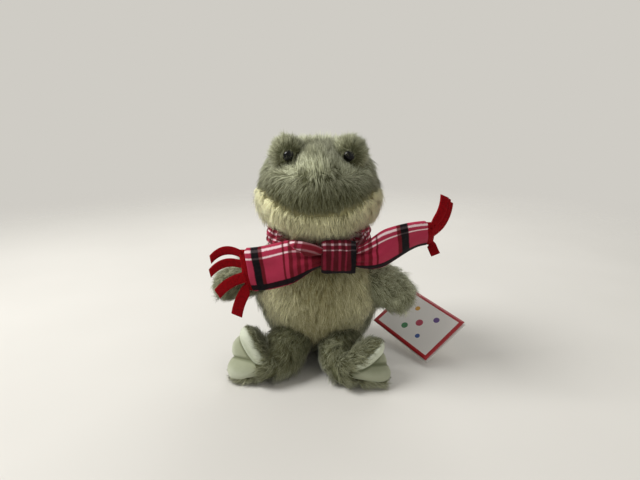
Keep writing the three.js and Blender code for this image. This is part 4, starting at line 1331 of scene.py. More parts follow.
def cut(form: Surface, y: float, front: bool) -> Surface:
    """Cuts a closed form by an upright plane and closes the cut.

    Args:
        form: the closed form.
        y: where the plane stands.
        front: keeps the front part, or else the back part.

    Returns:
        The part that is kept, closed.
    """
    work = bmesh.new()
    work.from_mesh(form.mesh("form_being_cut"))
    found = bmesh.ops.bisect_plane(work, geom=[*work.verts, *work.edges, *work.faces], dist=1e-6,
                                   plane_co=(0, y * MM, 0), plane_no=(0, 1, 0),
                                   clear_outer=front, clear_inner=not front)
    edges = [e for e in found["geom_cut"] if isinstance(e, bmesh.types.BMEdge)]
    bmesh.ops.edgeloop_fill(work, edges=edges)
    bmesh.ops.recalc_face_normals(work, faces=work.faces)
    mesh = bpy.data.meshes.new("form_cut")
    work.to_mesh(mesh)
    work.free()
    return read_back(mesh).outward()


@dataclass
class HeadPieces:
    """The head's two covers and its filling, the eye mounds and the eyes."""

    head: Head
    mounds: dict[str, Mound]
    nostrils: tuple[tuple[float, float], ...] = ((-8.5, 158.0), (11.0, 160.5))
    nostril_radius: float = 3.0
    inset: float = 2.2
    jaw_inset: float = 0.3
    mound_inset: float = 1.6
    mound_overlap: float = 2.4  # how far the head's pile goes on under a mound
    wadding_inset: float = 10.0
    eye_radius: float = 4.2
    eye_height: float = 3.4
    eye_aside: float = 1.4
    eye_sunk: float = 0.3
    # The shank's radius and height, point by point, up to the bead's rim.
    shank: tuple[tuple[float, float], ...] = ((1.5, -5.6), (1.5, -0.6), (3.2, -0.6), (3.95, -0.45))
    # The share of the fibres at a mound's rim that lean over its bead.
    lashes: dict[str, float] = field(default_factory=lambda: {"left": 0.4, "right": 0.75})
    filling: Filling = Filling(voxel=4.0, travel=1.0)

    def eye_at(self, side: str) -> Array:
        """The middle of an eye's back edge."""
        x, y, z = self.mounds[side].centre
        out = 1 if side == "left" else -1
        return np.array([x - out * self.eye_aside, y - self.mounds[side].halves[1]
                         + self.eye_height * self.eye_sunk, z])

    def from_eye(self, roots: Array, side: str) -> Array:
        """How far each root lies from the line through an eye, front to back."""
        eye = self.eye_at(side)
        return np.hypot(roots[:, 0] - eye[0], roots[:, 2] - eye[2])

    def lie(self, roots: Array, normals: Array) -> Array:
        """Parted at the nose: up over the brow and back over the crown, and outwards and down elsewhere."""
        x, y, z = roots.T
        edge = 158.5 + 0.1 * np.abs(x) + 3 * wandering(roots, 14.0, 2.0)
        edge += 5 * (scatter(np.floor(roots), 4.0) - 0.5)
        brow = (z > edge) & (np.abs(x) < 34 + 0.2 * (z - 160)) & (y < 0)
        up = np.maximum(brow, smooth(0.55, 0.9, normals[:, 2]))[:, None]
        aside = x / self.head.half_width
        over = 0.6 * smooth(0, 5, y) * smooth(20, 12, y) * (z < 150)
        down = np.stack([0.5 * aside, -0.2 - over, -1 + 0 * z], axis=1)
        back = np.stack([0.35 * aside, 0.7 + 0 * y, smooth(5, -20, y)], axis=1)
        return down * (1 - up) + back * up

    def mound_lie(self, side: str) -> Lie:
        """Away from the eye and up over the mound, but a few fibres at its rim lean over the bead."""
        eye = self.eye_at(side)

        def lie(roots: Array, normals: Array) -> Array:
            """The lie of this mound's pile."""
            away = roots - eye
            near = self.from_eye(roots, side) < self.eye_radius + 2.2
            over = near & (away[:, 2] > -1.0) & (scatter(np.floor(roots * 4), 8.0) < self.lashes[side])
            away[:, 1] += 6
            way = unit(away) + np.array([0, 0.25, -0.05])
            return np.where(over[:, None], -unit(away) + np.array([0, 0, -0.6]), way)

        return lie

    def clear_of_eyes(self, roots: Array, margin: float) -> Flags:
        """True for roots outside both eyes' openings."""
        clear = np.ones(len(roots), bool)
        for side in self.mounds:
            behind = roots[:, 1] > self.eye_at(side)[1] + 12
            clear &= (self.from_eye(roots, side) > self.eye_radius + margin) | behind
        return clear

    def keep(self, roots: Array, normals: Array) -> Flags:
        """Leaves bare what lies inside the mounds, in the eyes' openings and under the chin."""
        bare = ~self.clear_of_eyes(roots, 0.4) | self.head.covers(roots, -self.inset - BURIED)
        for mound in self.mounds.values():
            bare |= mound.covers(roots, -self.mound_overlap)
        bare |= (roots[:, 2] < self.head.base + 3) & (np.hypot(roots[:, 0], roots[:, 1]) < 33)
        bare |= (normals[:, 2] < -0.9) & (roots[:, 1] > -10)
        return ~bare

    def keep_jaw(self, roots: Array, normals: Array) -> Flags:
        """Also leaves bare the jaw's rim, which lies under the upper head's pile."""
        return self.keep(roots, normals) & (self.above_mouth(roots) < 0.8) & (normals[:, 2] < 0.85)

    def above_mouth(self, roots: Array) -> Array:
        """How far a root lies above the mouth seam."""
        return roots[:, 2] - self.head.mouth_height(roots[:, 0], roots[:, 1])

    def nostril(self, roots: Array) -> Array:
        """One in the middle of a nostril's dimple, and none beyond it."""
        away = [((roots[:, 0] - x) ** 2 + (roots[:, 2] - z) ** 2) / self.nostril_radius**2
                for x, z in self.nostrils]
        return np.exp(-np.minimum(*away)) * (roots[:, 1] < -30)

    def tone(self, roots: Array) -> Array:
        """Painted light on the brow and the crown, a line of painted shade where the snout's dome turns back
        into the crown, and painted shade towards the mouth and in the nostrils.
        """
        x, y, z = roots.T
        # Painted light on the upper face and painted shade low on the muzzle, and a little darker on the
        # toy's right.
        face = 0.12 + 0.5 * smooth(143, 166, z) - 0.1 * smooth(-14, -30, x)
        # A little more painted light across the snout's dome, and much less on its top middle.
        dome = 0.09 * np.exp(-((x / 34) ** 4)) - 0.46 * np.exp(-((x / 20) ** 4)) * smooth(160, 170, z)
        dome *= smooth(-16, -24, y) * smooth(154, 160, z)
        # A line of painted shade where the snout's dome turns back into the crown.
        dome_edge_shade = 0.4 * np.exp(-((x / 24) ** 4)) * smooth(-24, -20, y) * smooth(-10, -14, y) * (z > 165)
        crown = -0.1 * smooth(-13, -7, y) * smooth(170, 178, z)
        # The nostrils' dimples are darkened with painted shade.
        return np.where(y < 4, face, 0.42) + dome - dome_edge_shade + crown - 0.45 * self.nostril(roots)

    def trim(self, roots: Array) -> Array:
        """Short at the mouth, in the nostrils and low on the sides, and a little longer on the crown."""
        edge = np.where(roots[:, 1] < 10, 0.9 + 0.1 * smooth(0, 10, self.above_mouth(roots)), 1)
        low, behind = smooth(self.head.base + 16, self.head.base + 5, roots[:, 2]), smooth(8, 24, roots[:, 1])
        nape = 1 - low * (0.7 - 1.25 * behind)
        return edge * nape * (1 + 0.1 * self.on_crown(roots)) * (1 - 0.55 * self.nostril(roots))

    def on_crown(self, roots: Array) -> Array:
        """One on the crown, behind the brow, and none in front of it."""
        return smooth(-18, -10, roots[:, 1]) * smooth(168, 176, roots[:, 2]) * smooth(24, 10, roots[:, 1])

    def rise(self, roots: Array) -> Array:
        """The pile stands up on the crown."""
        return 12 * self.on_crown(roots)

    def jaw_lie(self, roots: Array, normals: Array) -> Array:
        """Down over the chin, outwards over the jowls and back over the side seams."""
        x, y, z = roots.T
        return np.stack([0.55 * x / self.head.half_width, 0.8 * smooth(-10, 2, y) - 0.2, -1 + 0 * z], axis=1)

    def jaw_low(self, roots: Array) -> Array:
        """One at the bottom of the jaw and none above it."""
        return smooth(self.head.base + 16, self.head.base + 4, roots[:, 2])

    def jaw_trim(self, roots: Array) -> Array:
        """Long low on the chin, so that it hangs over the scarf, and short low on the jowls."""
        jowl = smooth(16, 32, np.abs(roots[:, 0]))
        return 0.92 + self.jaw_low(roots) * (0.45 - 0.9 * jowl) - 0.3 * self.jaw_corner(roots)

    def jaw_corner(self, roots: Array) -> Array:
        """One at the mouth's corners and none in front."""
        return smooth(-10, -3, self.above_mouth(roots)) * smooth(28, 38, np.abs(roots[:, 0]))

    def jaw_tone(self, roots: Array) -> Array:
        """Paler towards the jowls, with painted light on the toy's right, on the chin's shaded bottom and
        along the mouth's edge, and painted shade at the mouth's corners.
        """
        edge = smooth(-8, -3, self.above_mouth(roots)) * (roots[:, 1] < 5)
        pale_jowls_and_lit_side = 0.2 * smooth(18, 40, np.abs(roots[:, 0])) + 0.08 * smooth(-22, -38, roots[:, 0])
        # Painted light on the chin's shaded bottom and along the mouth's edge.
        lit = np.maximum(0.14 * self.jaw_low(roots), 0.16 * edge)
        return 0.48 + pale_jowls_and_lit_side + lit - 0.1 * self.jaw_corner(roots)

    def jaw_rise(self, roots: Array) -> Array:
        """The pile stands out over the scarf."""
        return 6 * self.jaw_low(roots)

    def build(self, finishes: Finishes) -> None:
        """Dresses the upper head, the jaw, the mounds and the eyes."""
        top = self.filling.fill(self.head.skin(-self.inset, lower=False))
        piles = double_pile(1.75, 9.5, 31, wander=15, width=0.34)
        Coat("head_top", "head", ("head_top_panel",), Shade.SAGE, piles).dress(
            [top], finishes, Grooming(self.lie, self.keep, self.tone, self.trim, self.rise))
        jaw = self.filling.fill(self.head.skin(-self.inset - self.jaw_inset, lower=True))
        piles = double_pile(2.3, 11.0, 33, width=0.34)
        grooming = Grooming(self.jaw_lie, self.keep_jaw, self.jaw_tone, self.jaw_trim, self.jaw_rise)
        Coat("chin", "head", ("chin_panel",), Shade.CREAM, piles).dress([jaw], finishes, grooming)
        for number, (side, mound) in enumerate(self.mounds.items()):
            piles = double_pile(2.4, 7.5, 41 + number, wander=26, width=0.32, clump=2.6)
            grooming = Grooming(self.mound_lie(side), self.mound_keep, self.mound_tone)
            Coat(f"eye_mound_{side}_cover", "head", (f"eye_mound_{side}",), Shade.SAGE, piles).dress(
                [mound.skin(-self.mound_inset)], finishes, grooming)
            self.eye(side, finishes)
        wad(self.head.core(-self.wadding_inset), "head_wadding", "head", "head_stuffing", finishes)

    def mound_keep(self, roots: Array, normals: Array) -> Flags:
        """Leaves bare what lies inside the head and in the eye's opening."""
        return self.clear_of_eyes(roots, -0.2) & ~self.head.covers(roots, -1.0)

    def mound_tone(self, roots: Array) -> Array:
        """Painted shade round the eye, in the socket where the mound's pile parts."""
        away = [self.from_eye(roots, side) for side in self.mounds]
        near = smooth(self.eye_radius + 5, self.eye_radius, np.minimum(*away))
        return 0.38 - 0.28 * near * (roots[:, 1] < -18)

    def eye(self, side: str, finishes: Finishes) -> None:
        """Turns the bead: a dome over a rounded rim, with its shank behind it."""
        eye = self.eye_at(side)
        dome = np.linspace(0, np.pi / 2, 14)[:-1]
        shank = np.array(self.shank)
        radius = np.concatenate([shank[:, 0], self.eye_radius * np.cos(dome)])
        height = np.concatenate([shank[:, 1], self.eye_height * np.sin(dome)])
        angle = np.linspace(0, 2 * np.pi, 36, endpoint=False)
        points = np.stack([radius[:, None] * np.cos(angle), -height[:, None] + 0 * angle,
                           radius[:, None] * np.sin(angle)], axis=-1) + eye
        bead = Surface.loft(points).piece(f"bead_eye_{side}", finishes.get(
            Moulding("polished_black_acrylic", "#050505", "#020202", 0.05, ior=1.3)))
        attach(bead, "head")
        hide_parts(f"eye_{side}")


@dataclass
class Arms:
    """The two sleeves of fur."""

    limbs: dict[str, Limb]
    torso: Torso
    inset: float = 2.0
    # The right arm is toned darker, as painted shade under the scarf's fringe.
    tones: dict[str, float] = field(default_factory=lambda: {"left": 0.52, "right": 0.34})
    filling: Filling = Filling(voxel=3.0, travel=0.8)

    def build(self, finishes: Finishes) -> None:
        """Dresses both arms."""
        for number, side in enumerate(self.limbs):
            self.sleeve(side, number, finishes)

    def sleeve(self, side: str, number: int, finishes: Finishes) -> None:
        """Stuffs a sleeve and combs its fur towards the paw."""
        limb = self.limbs[side]

        def lie(roots: Array, normals: Array) -> Array:
            """Along the arm, and down past its end."""
            past = smooth(-4, limb.end, (roots - limb.tip) @ limb.way)[:, None]
            return limb.way * (1 - past) + np.array([0, 0, -0.8]) * (0.35 + past)

        def keep(roots: Array, normals: Array) -> Flags:
            """Leaves bare what lies inside the body."""
            return ~self.torso.covers(roots, -1.0)

        def trim(roots: Array) -> Array:
            """Short in front, on the right arm, which the scarf's fringe lies on."""
            fore = limb.pivot[1] - roots[:, 1]
            return 0.95 - 0.35 * smooth(0, 8, fore) if side == "right" else 0.78 + 0 * fore

        piles = (Pile(2.1, 7.5, 0.25, 0.34, 48, 24, 3.0, 0.4, 40, 51 + number),
                 Pile(1.7, 9.8, 0.3, 0.3, 46, 18, 4.4, 0.7, 58, 151 + number, shag=0.5, mottle=0.4))
        Coat(f"arm_{side}_sleeve", f"arm_{side}", (f"arm_cover_{side}",), Shade.SAGE, piles).dress(
            [self.filling.fill(limb.skin(-self.inset))], finishes,
            Grooming(lie, keep, even(self.tones[side]), trim))


@dataclass
class Legs:
    """The two legs with their three-toed feet."""

    limbs: dict[str, Limb]
    feet: dict[str, list[Toe]]
    torso: Torso
    heel_radius: float = 12.5
    inset: float = 2.0
    heel_inset: float = 1.8
    toe_inset: float = 1.2
    velour_swell: float = 0.3
    # The right leg is toned darker, as painted shade where it meets the body.
    tones: dict[str, float] = field(default_factory=lambda: {"left": 0.23, "right": 0.12})
    # How far a toe's painted shadow reaches over the toes under it, in its own size.
    shadow_reach: dict[str, float] = field(default_factory=lambda: {"left": 6.5, "right": 3.4})
    groove_shade_reach: float = 1.5
    filling: Filling = Filling(voxel=3.0, travel=0.8)
    toe_filling: Filling = Filling(voxel=1.5, travel=0.9)

    def build(self, finishes: Finishes) -> None:
        """Dresses the legs, the fur outside of the feet and their velour soles."""
        for number, side in enumerate(self.limbs):
            self.leg(side, number, finishes)
            self.foot_top(side, number, finishes)
            self.sole(side, finishes)

    def leg(self, side: str, number: int, finishes: Finishes) -> None:
        """The sleeve of a leg, combed towards the foot and the floor."""
        limb = self.limbs[side]

        def lie(roots: Array, normals: Array) -> Array:
            """Along the leg and down."""
            return limb.way + np.array([0, 0, -0.45]) + normals * 0

        def keep(roots: Array, normals: Array) -> Flags:
            """Leaves bare what lies inside the body or the toes, or on the floor."""
            bare = self.torso.covers(roots, -1.0)
            for toe in self.feet[side]:
                bare |= toe.covers(roots, -1.0)
            return ~bare & (normals[:, 2] > -0.8)

        def tone(roots: Array) -> Array:
            """Darker above, as painted shade under the body, and paler towards the floor."""
            return self.tones[side] + 0.5 * smooth(20, 3, roots[:, 2])

        def trim(roots: Array) -> Array:
            """Short between the legs."""
            return 1 - 0.6 * smooth(16, 5, np.abs(roots[:, 0]))

        piles = double_pile(2.1, 10.5, 61 + number, wander=38, width=0.33, clump=3.8, mottle=0.4)
        Coat(f"leg_{side}_sleeve", f"leg_{side}", (f"leg_cover_{side}",), Shade.SAGE, piles).dress(
            [self.filling.fill(limb.skin(-self.inset))], finishes, Grooming(lie, keep, tone, trim))

    def foot_top(self, side: str, number: int, finishes: Finishes) -> None:
        """The fur side of the foot, combed along each toe and cut short towards its tip."""
        toes = self.feet[side]
        heel_skin = Mound(toes[0].heel, (self.heel_radius,) * 3).skin(-self.heel_inset)
        above_floor(heel_skin.points)
        covers = [self.toe_filling.fill(toe.half(False, -self.toe_inset)) for toe in toes]
        ways = np.array([toe.axes[0] for toe in toes])

        def lie(roots: Array, normals: Array) -> Array:
            """Along the nearest toe and down."""
            nearest = np.argmin([toe.off_axis(roots) for toe in toes], axis=0)
            return ways[nearest] * 0.7 + np.array([0, -0.25, -0.45])

        def keep(roots: Array, normals: Array) -> Flags:
            """Leaves bare what lies inside the leg, a toe or its velour half, or on the floor."""
            bare = self.limbs[side].covers(roots, -2.0)
            for toe in toes:
                inside_velour = toe.covers(roots, 1.5) & ((roots - toe.start) @ toe.axes[2] > -0.6)
                bare |= toe.covers(roots, -2.6) | inside_velour
            return ~bare & (normals[:, 2] > -0.9)

        def trim(roots: Array) -> Array:
            """Short towards the tips of the toes."""
            tips = np.max([0.65 * smooth(begin, 1.0, toe.shares(roots)[0]) * toe.covers(roots, 3.0)
                           for toe, begin in zip(toes, (0.5, 0.5, 0.75))], axis=0)
            return 1 - tips

        def tone(roots: Array) -> Array:
            """Paler near the floor, as painted light on the pile that the toes shade."""
            return 0.3 + 0.6 * smooth(9, 2, roots[:, 2])

        piles = double_pile(2.2, 9.0, 71 + number, wander=30, width=0.33, clump=3.2, mottle=0.3)
        Coat(f"foot_{side}_fur", f"leg_{side}", (f"foot_top_{side}",), Shade.SAGE, piles).dress(
            [*covers, heel_skin], finishes, Grooming(lie, keep, tone, trim))

    def sole(self, side: str, finishes: Finishes) -> None:
        """The velour side of the three toes, marked with its rims, grooves and lees, where the nap gets a
        painted highlight, painted shade and a painted shadow.
        """
        toes = self.feet[side]
        lobes = [self.toe_filling.fill(toe.half(True, self.velour_swell)) for toe in toes]

        def nearness(lobe: Surface, others: list[Toe], reach: float) -> Array:
            """One where a lobe lies in any of the other toes, and none beyond their reach."""
            near = [toe.closeness(lobe.points, reach) for toe in others]
            return np.max([np.zeros(len(lobe.points)), *near], axis=0)

        sole = Surface.joined(lobes).piece(f"foot_{side}_velour", finishes.get(
            Velour("mint_velour", "#c0c6ae", "#b3b9a1", "#d6dac6", "#8f9176", "#6f7358")))
        rim_highlights = [toe.rim(lobe.points) for toe, lobe in zip(toes, lobes)]
        groove_shades = [nearness(lobe, [other for other in toes if other is not toe], self.groove_shade_reach)
                   for toe, lobe in zip(toes, lobes)]
        shadows_from_toes_above = [nearness(lobe, toes[:k], self.shadow_reach[side]) for k, lobe in enumerate(lobes)]
        for name, values in (("rim", rim_highlights), ("lee", shadows_from_toes_above), ("groove", groove_shades)):
            mark = sole.data.attributes.new(name, "FLOAT", "POINT")
            mark.data.foreach_set("value", np.concatenate(values).astype(np.float32))
        finer = sole.modifiers.new("smooth_nap", "SUBSURF")
        finer.levels = finer.render_levels = 1
        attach(sole, f"leg_{side}")
        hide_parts(f"foot_sole_{side}")


@dataclass(frozen=True)
class Tail:
    """A hanging end of the scarf, gathered in the wrap and open at its end."""

    side: str
    way: float
    length: float
    height: float
    climb: float
    swing_back: float
    lean: float
    folds: float
    fold_depth: float = 1.5
    root_share: float = 0.52
    opens: tuple[float, float] = (0.1, 0.55)
    bends: tuple[float, float] = (0.15, 1.0)
    flat_share: float = 0.85
    stripe_shift: float = 0.0
    puff: float = 1.2

    def middle(self, u: Array, v: Array, scarf: "Scarf") -> Array:
        """The middle surface: u runs from the wrap to the end, and v from the bottom to the top.

        The distance from the tail's axis grows as the tail opens, the axis climbs and swings back
        smoothly, the end leans, and the gathers are a sine across the tail that fades as it opens.
        """
        root_height = min(scarf.bore_height - 2 * scarf.cloth, self.height * self.root_share)
        climb_angle = np.arctan2(self.climb, self.length)
        opened = smooth(*self.opens, u)
        bend = smooth(*self.bends, u)
        lean = np.radians(self.lean) * bend
        off = (v - 0.5) * (root_height + (self.height - root_height) * opened)
        wave = self.fold_depth * (1 - self.flat_share * opened) * np.sin(2 * np.pi * self.folds * v)
        ripple = 0.5 * np.sin(2 * np.pi * (1.3 * u + 0.7 * v)) * bend
        x, y, z = scarf.centre
        out = scarf.tuck + self.length * u - off * np.cos(lean) * np.sin(climb_angle) * bend
        return np.stack([
            x + self.way * out,
            y + self.swing_back * bend + off * np.sin(lean) + wave + ripple,
            z + self.climb * bend + off * np.cos(lean),
        ], axis=-1)

    def cloth(self, u: Array, v: Array, scarf: "Scarf") -> Array:
        """The middle surface with its pleats, puffed out between its edges and rounded at its corners."""
        middle = self.middle(u, v, scarf)
        gathered = 1 - smooth(*self.opens, u)
        pleat = (1.2 * gathered * np.sin(2 * np.pi * (3.3 * v + 0.8 * u))
                 + 0.45 * np.sin(2 * np.pi * (1.6 * v - 2.2 * u) + 1.0) * np.sin(np.pi * v))
        puff = np.maximum(1 - np.abs(2 * v - 1) ** 2.4, 0) ** 0.6
        middle[..., 1] += pleat - self.puff * puff * (0.4 + 0.6 * smooth(0, 0.5, u))
        corner = np.clip((u - 0.93) / 0.07, 0, 1) * np.clip((np.abs(2 * v - 1) - 0.8) / 0.2, 0, 1)
        middle[..., 0] -= self.way * 2.2 * corner**2
        return middle


@dataclass(frozen=True)
class Strip:
    """A felt strip of the fringe: where it starts on the tail's end, and where its tip is."""

    start: float
    out: float
    up: float
    back: float
    arch: float
    wide: float = 1.0


@dataclass
class Scarf:
    """The scarf: a band round the neck, a wrap in front, two tails and their felt fringes."""

    torso: Torso
    tails: list[Tail]
    strips: dict[str, list[Strip]]
    cloth: float = 2.4
    band_height: float = 17
    band_length: float = 250  # of the cloth round the neck
    band_width: float = 19  # of the cloth, let out
    band_sizes: Triple = (41.5, 37.5, 36.0)  # the least half width, front and back
    bulge: float = 1.4
    centre: Triple = (14.5, -45.624, 99.2)
    wrap_length: float = 25
    wrap_half_height: float = 12.2
    wrap_half_depth: float = 6.8
    wrap_wall: float = 1.8
    waist: float = 0.8
    wrap_swell: float = 0.6
    wrap_width: float = 30  # of the cloth over the wrap's front, let out
    tuck_share: float = 0.44
    tail_width: float = 33.5  # of the cloth, let out
    felt: float = 1.4
    facing: float = 0.7  # how far a strip turns its flat side to the front
    strip_width: float = 7.0
    strip_reach: float = 25
    strip_turn: float = 0.33  # the share of a strip along which it turns
    strip_curl: float = 1.1
    hem: float = 2.2
    hem_overlap: float = 1.2
    hem_margin: float = 0.03  # the share of the tail's end left free at each corner
    leaves: tuple[tuple[Triple, Triple, float], ...] = (
        ((-21, -45.5, 110), (3, -53.5, 106), 9.5), ((35, -27, 112), (27, -49.5, 104.5), 8))
    wrap_piece: str = "scarf_wrap_cloth"
    band_piece: str = "scarf_band_cloth"

    @property
    def tuck(self) -> float:
        """How far from the wrap's middle a tail starts."""
        return self.wrap_length * (0.5 - self.tuck_share)

    @property
    def bore_height(self) -> float:
        """The height inside the wrap."""
        return 2 * (self.wrap_half_height - self.wrap_wall - self.waist)

    def build(self, finishes: Finishes) -> None:
        """Makes every piece of the scarf."""
        self.band(finishes.get(Tartan("tartan_flannel_gathered", BAND_CROSS, BAND_LENGTH)))
        self.wrap(finishes.get(Tartan("tartan_flannel_wrapped", WRAP_CROSS, WRAP_LENGTH)))
        for tail in self.tails:
            self.tail(tail, finishes.get(Tartan("tartan_flannel")))
            self.fringe(tail, finishes)

    def band(self, flannel: Material) -> None:
        """The gathered band: a ring with slanting folds, thickened, and the two folds beside the wrap."""
        bottom = self.torso.height - self.band_height
        share, turn = grid(24, 217)
        angle = 2 * np.pi * turn
        z = bottom + share * (self.band_height - SEAM_GAP)
        slant = 9 * angle + 1.5 * np.sin(2 * angle)
        folds = 0.75 * np.sin(2 * np.pi * 1.7 * share + slant) + 0.45 * np.sin(2.2 * slant - 5 * share)
        swell = self.bulge * 4 * share * (1 - share) - 1.0 + folds * np.sin(np.pi * share) ** 0.5
        width = np.maximum(self.band_sizes[0], self.torso.width_at(z) + SEAM_GAP + self.cloth) + swell
        front = np.maximum(self.band_sizes[1], self.torso.front_at(z) + SEAM_GAP + self.cloth) + swell
        back = np.maximum(self.band_sizes[2], self.torso.back_at(z) + SEAM_GAP + self.cloth) + swell
        depth = np.where(np.sin(angle) < 0, front, back)
        middle = np.stack(np.broadcast_arrays(width * np.cos(angle), depth * np.sin(angle), z), axis=-1)
        around = self.band_length * turn + 6 * (1 - share) + 0.8 * folds
        down = self.band_width * (1 - share) + 0.8 * folds
        uv = np.stack([np.mod(around, 25.0), down], axis=-1) / MAP_SPAN
        parts = [Surface.slab(middle, np.full(middle.shape[:2], 1.2), uv)]
        parts += [self.leaf(*ends) for ends in self.leaves]
        band = Surface.joined(parts).piece(self.band_piece, flannel)
        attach(band, "body")
        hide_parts("scarf_neck_band")

    def leaf(self, start: Triple, end: Triple, rise: float) -> Surface:
        """A fold of cloth that swells between two pinched ends, like a leaf, over the top of a tail."""
        u = np.linspace(0, 1, 26)[:, None]
        v = np.linspace(-1, 1, 15)[None, :]
        first, last = np.array(start), np.array(end)
        line = unit(last - first)
        up = unit(np.cross(np.cross(line, [0.0, 0, 1]), line))
        out = np.cross(line, up) * (1 if np.cross(line, up)[1] < 0 else -1)
        half = rise / 2 * np.sin(np.pi * (0.06 + 0.88 * u)) ** 0.8
        puff = 2.4 * half / rise * 2 * (1 - v * v) + 0.35 * np.sin(6.0 * v + 5 * u)
        middle = (first + (last - first) * u[..., None] + (v * half)[..., None] * up + puff[..., None] * out
                  - (1.5 * np.sin(np.pi * u))[..., None] * up)
        length = float(np.linalg.norm(last - first))
        uv = np.stack([12 + length * u + 0 * v, 2 + (1 - v) * half * 1.2 + 2 * u], axis=-1) / MAP_SPAN
        return Surface.slab(middle, np.full(middle.shape[:2], 1.1), uv)

    def wrap(self, flannel: Material) -> None:
        """The wrap: an oval sleeve, drawn in at its waist, with small creases along it."""
        share, turn = grid(34, 97)
        angle = 2 * np.pi * turn
        drawn = -self.wrap_swell * 4 * share * (1 - share)
        crease = 0.3 * np.sin(3 * angle + 3.5 * np.sin(np.pi * share))
        crease = crease + 0.15 * np.sin(2 * np.pi * (1.5 * share) + 4 * angle)
        crease = crease + 0.3 * np.sin(2 * np.pi * 2.6 * share + 1.2 * np.sin(2 * angle)) * np.cos(angle) ** 2
        half = self.wrap_wall / 2
        x = self.centre[0] + self.wrap_length * (share - 0.5) + 0 * angle
        y = self.centre[1] + (self.wrap_half_depth - half - drawn / 2 + crease) * np.cos(angle)
        z = self.centre[2] + (self.wrap_half_height - half - drawn + crease) * np.sin(angle)
        middle = np.stack([x, y, z], axis=-1)
        down = (1 - np.sin(angle)) / 2 * self.wrap_width
        uv = np.stack([self.wrap_length * share + 0.5 * crease, 1.5 + down + 0 * share], axis=-1) / MAP_SPAN
        rim = 1 - 0.45 * np.abs(2 * share - 1) ** 10
        wrap = Surface.slab(middle, self.wrap_wall * rim + 0 * angle, uv).piece(self.wrap_piece, flannel)
        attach(wrap, "body")
        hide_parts("scarf_wrap")

    def tail(self, tail: Tail, flannel: Material) -> None:
        """A tail: the middle surface, thickened and rounded off at its edges and its end."""
        u, v = grid(84, 52)
        middle = tail.cloth(u, v, self)
        rounding = (1 - np.abs(2 * v - 1) ** 14) ** 0.5 * (1 - np.clip((u - 0.9) / 0.1, 0, 1) ** 8) ** 0.5
        thick = self.cloth * np.maximum(rounding, 0.25)
        s = np.maximum((1 - u) * tail.length + 0 * v - tail.stripe_shift, 0.1)
        t = (1 - v) * self.tail_width + 0 * u
        uv = np.stack([s, t], axis=-1) / MAP_SPAN
        piece = Surface.slab(middle, thick, uv).piece(f"scarf_tail_{tail.side}_cloth", flannel)
        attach(piece, "body")
        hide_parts(f"scarf_tail_{tail.side}")

    def fringe(self, tail: Tail, finishes: Finishes) -> None:
        """The felt comb: a hem along the tail's end and strips that bend out of it."""
        way = np.array([tail.way, 0.0, 0.0])
        bottom, top = tail.middle(np.ones(2), np.array([0.0, 1.0]), self)
        end_way = unit(top - bottom)

        def end(v: Array) -> Array:
            """The line that the comb starts from, just past the tail's end."""
            return tail.cloth(np.ones_like(v), v, self) + way * SEAM_GAP

        u, v = grid(4, 24)
        along = self.hem_margin + (1 - 2 * self.hem_margin) * v
        hem = end(along) + ((self.hem + 2 * self.hem_overlap) * u - self.hem_overlap)[..., None] * way
        parts = [self.felt_slab(hem, u, v)]
        u, v = grid(22, 8)
        for number, strip in enumerate(self.strips[tail.side]):
            root = end(np.array([1 - strip.start]))[0] + way * self.hem / 2
            reach = (way * strip.out + np.array([0, strip.back, strip.up])) * self.strip_reach
            forward = unit(reach)
            sideways = unit(end_way - forward * (end_way @ forward))
            level = unit(np.cross(forward, [0.0, 1, 0]))
            sideways = unit(sideways * (1 - self.facing) + level * np.sign(level @ sideways) * self.facing)
            turn = np.minimum(u / self.strip_turn, 1)[..., None]
            across = unit(end_way * (1 - turn) + sideways * turn)
            flat_way = unit(np.cross(forward, sideways))
            curl = self.strip_curl * np.sin(2.6 * u + 1.7 * number)[..., None] * flat_way
            arch = (strip.arch * self.strip_reach * 4 * u * (1 - u))[..., None] * sideways
            width = ((v - 0.5) * self.strip_width * strip.wide)[..., None]
            middle = root + reach * u[..., None] + across * width + arch + curl
            parts.append(self.felt_slab(middle, u, v))
        felt = finishes.get(Felt("crimson_wool_felt"))
        piece = Surface.joined(parts).piece(f"scarf_fringe_{tail.side}_felt", felt)
        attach(piece, "body")
        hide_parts(f"scarf_fringe_{tail.side}")

    def felt_slab(self, middle: Array, u: Array, v: Array) -> Surface:
        """Thickens a felt strip, with its cut edges a little thinner."""
        thick = self.felt * (1 - 0.35 * np.abs(2 * v - 1) ** 8) + 0 * u
        return Surface.slab(middle, thick, np.stack([u + 0 * v, v + 0 * u], axis=-1))


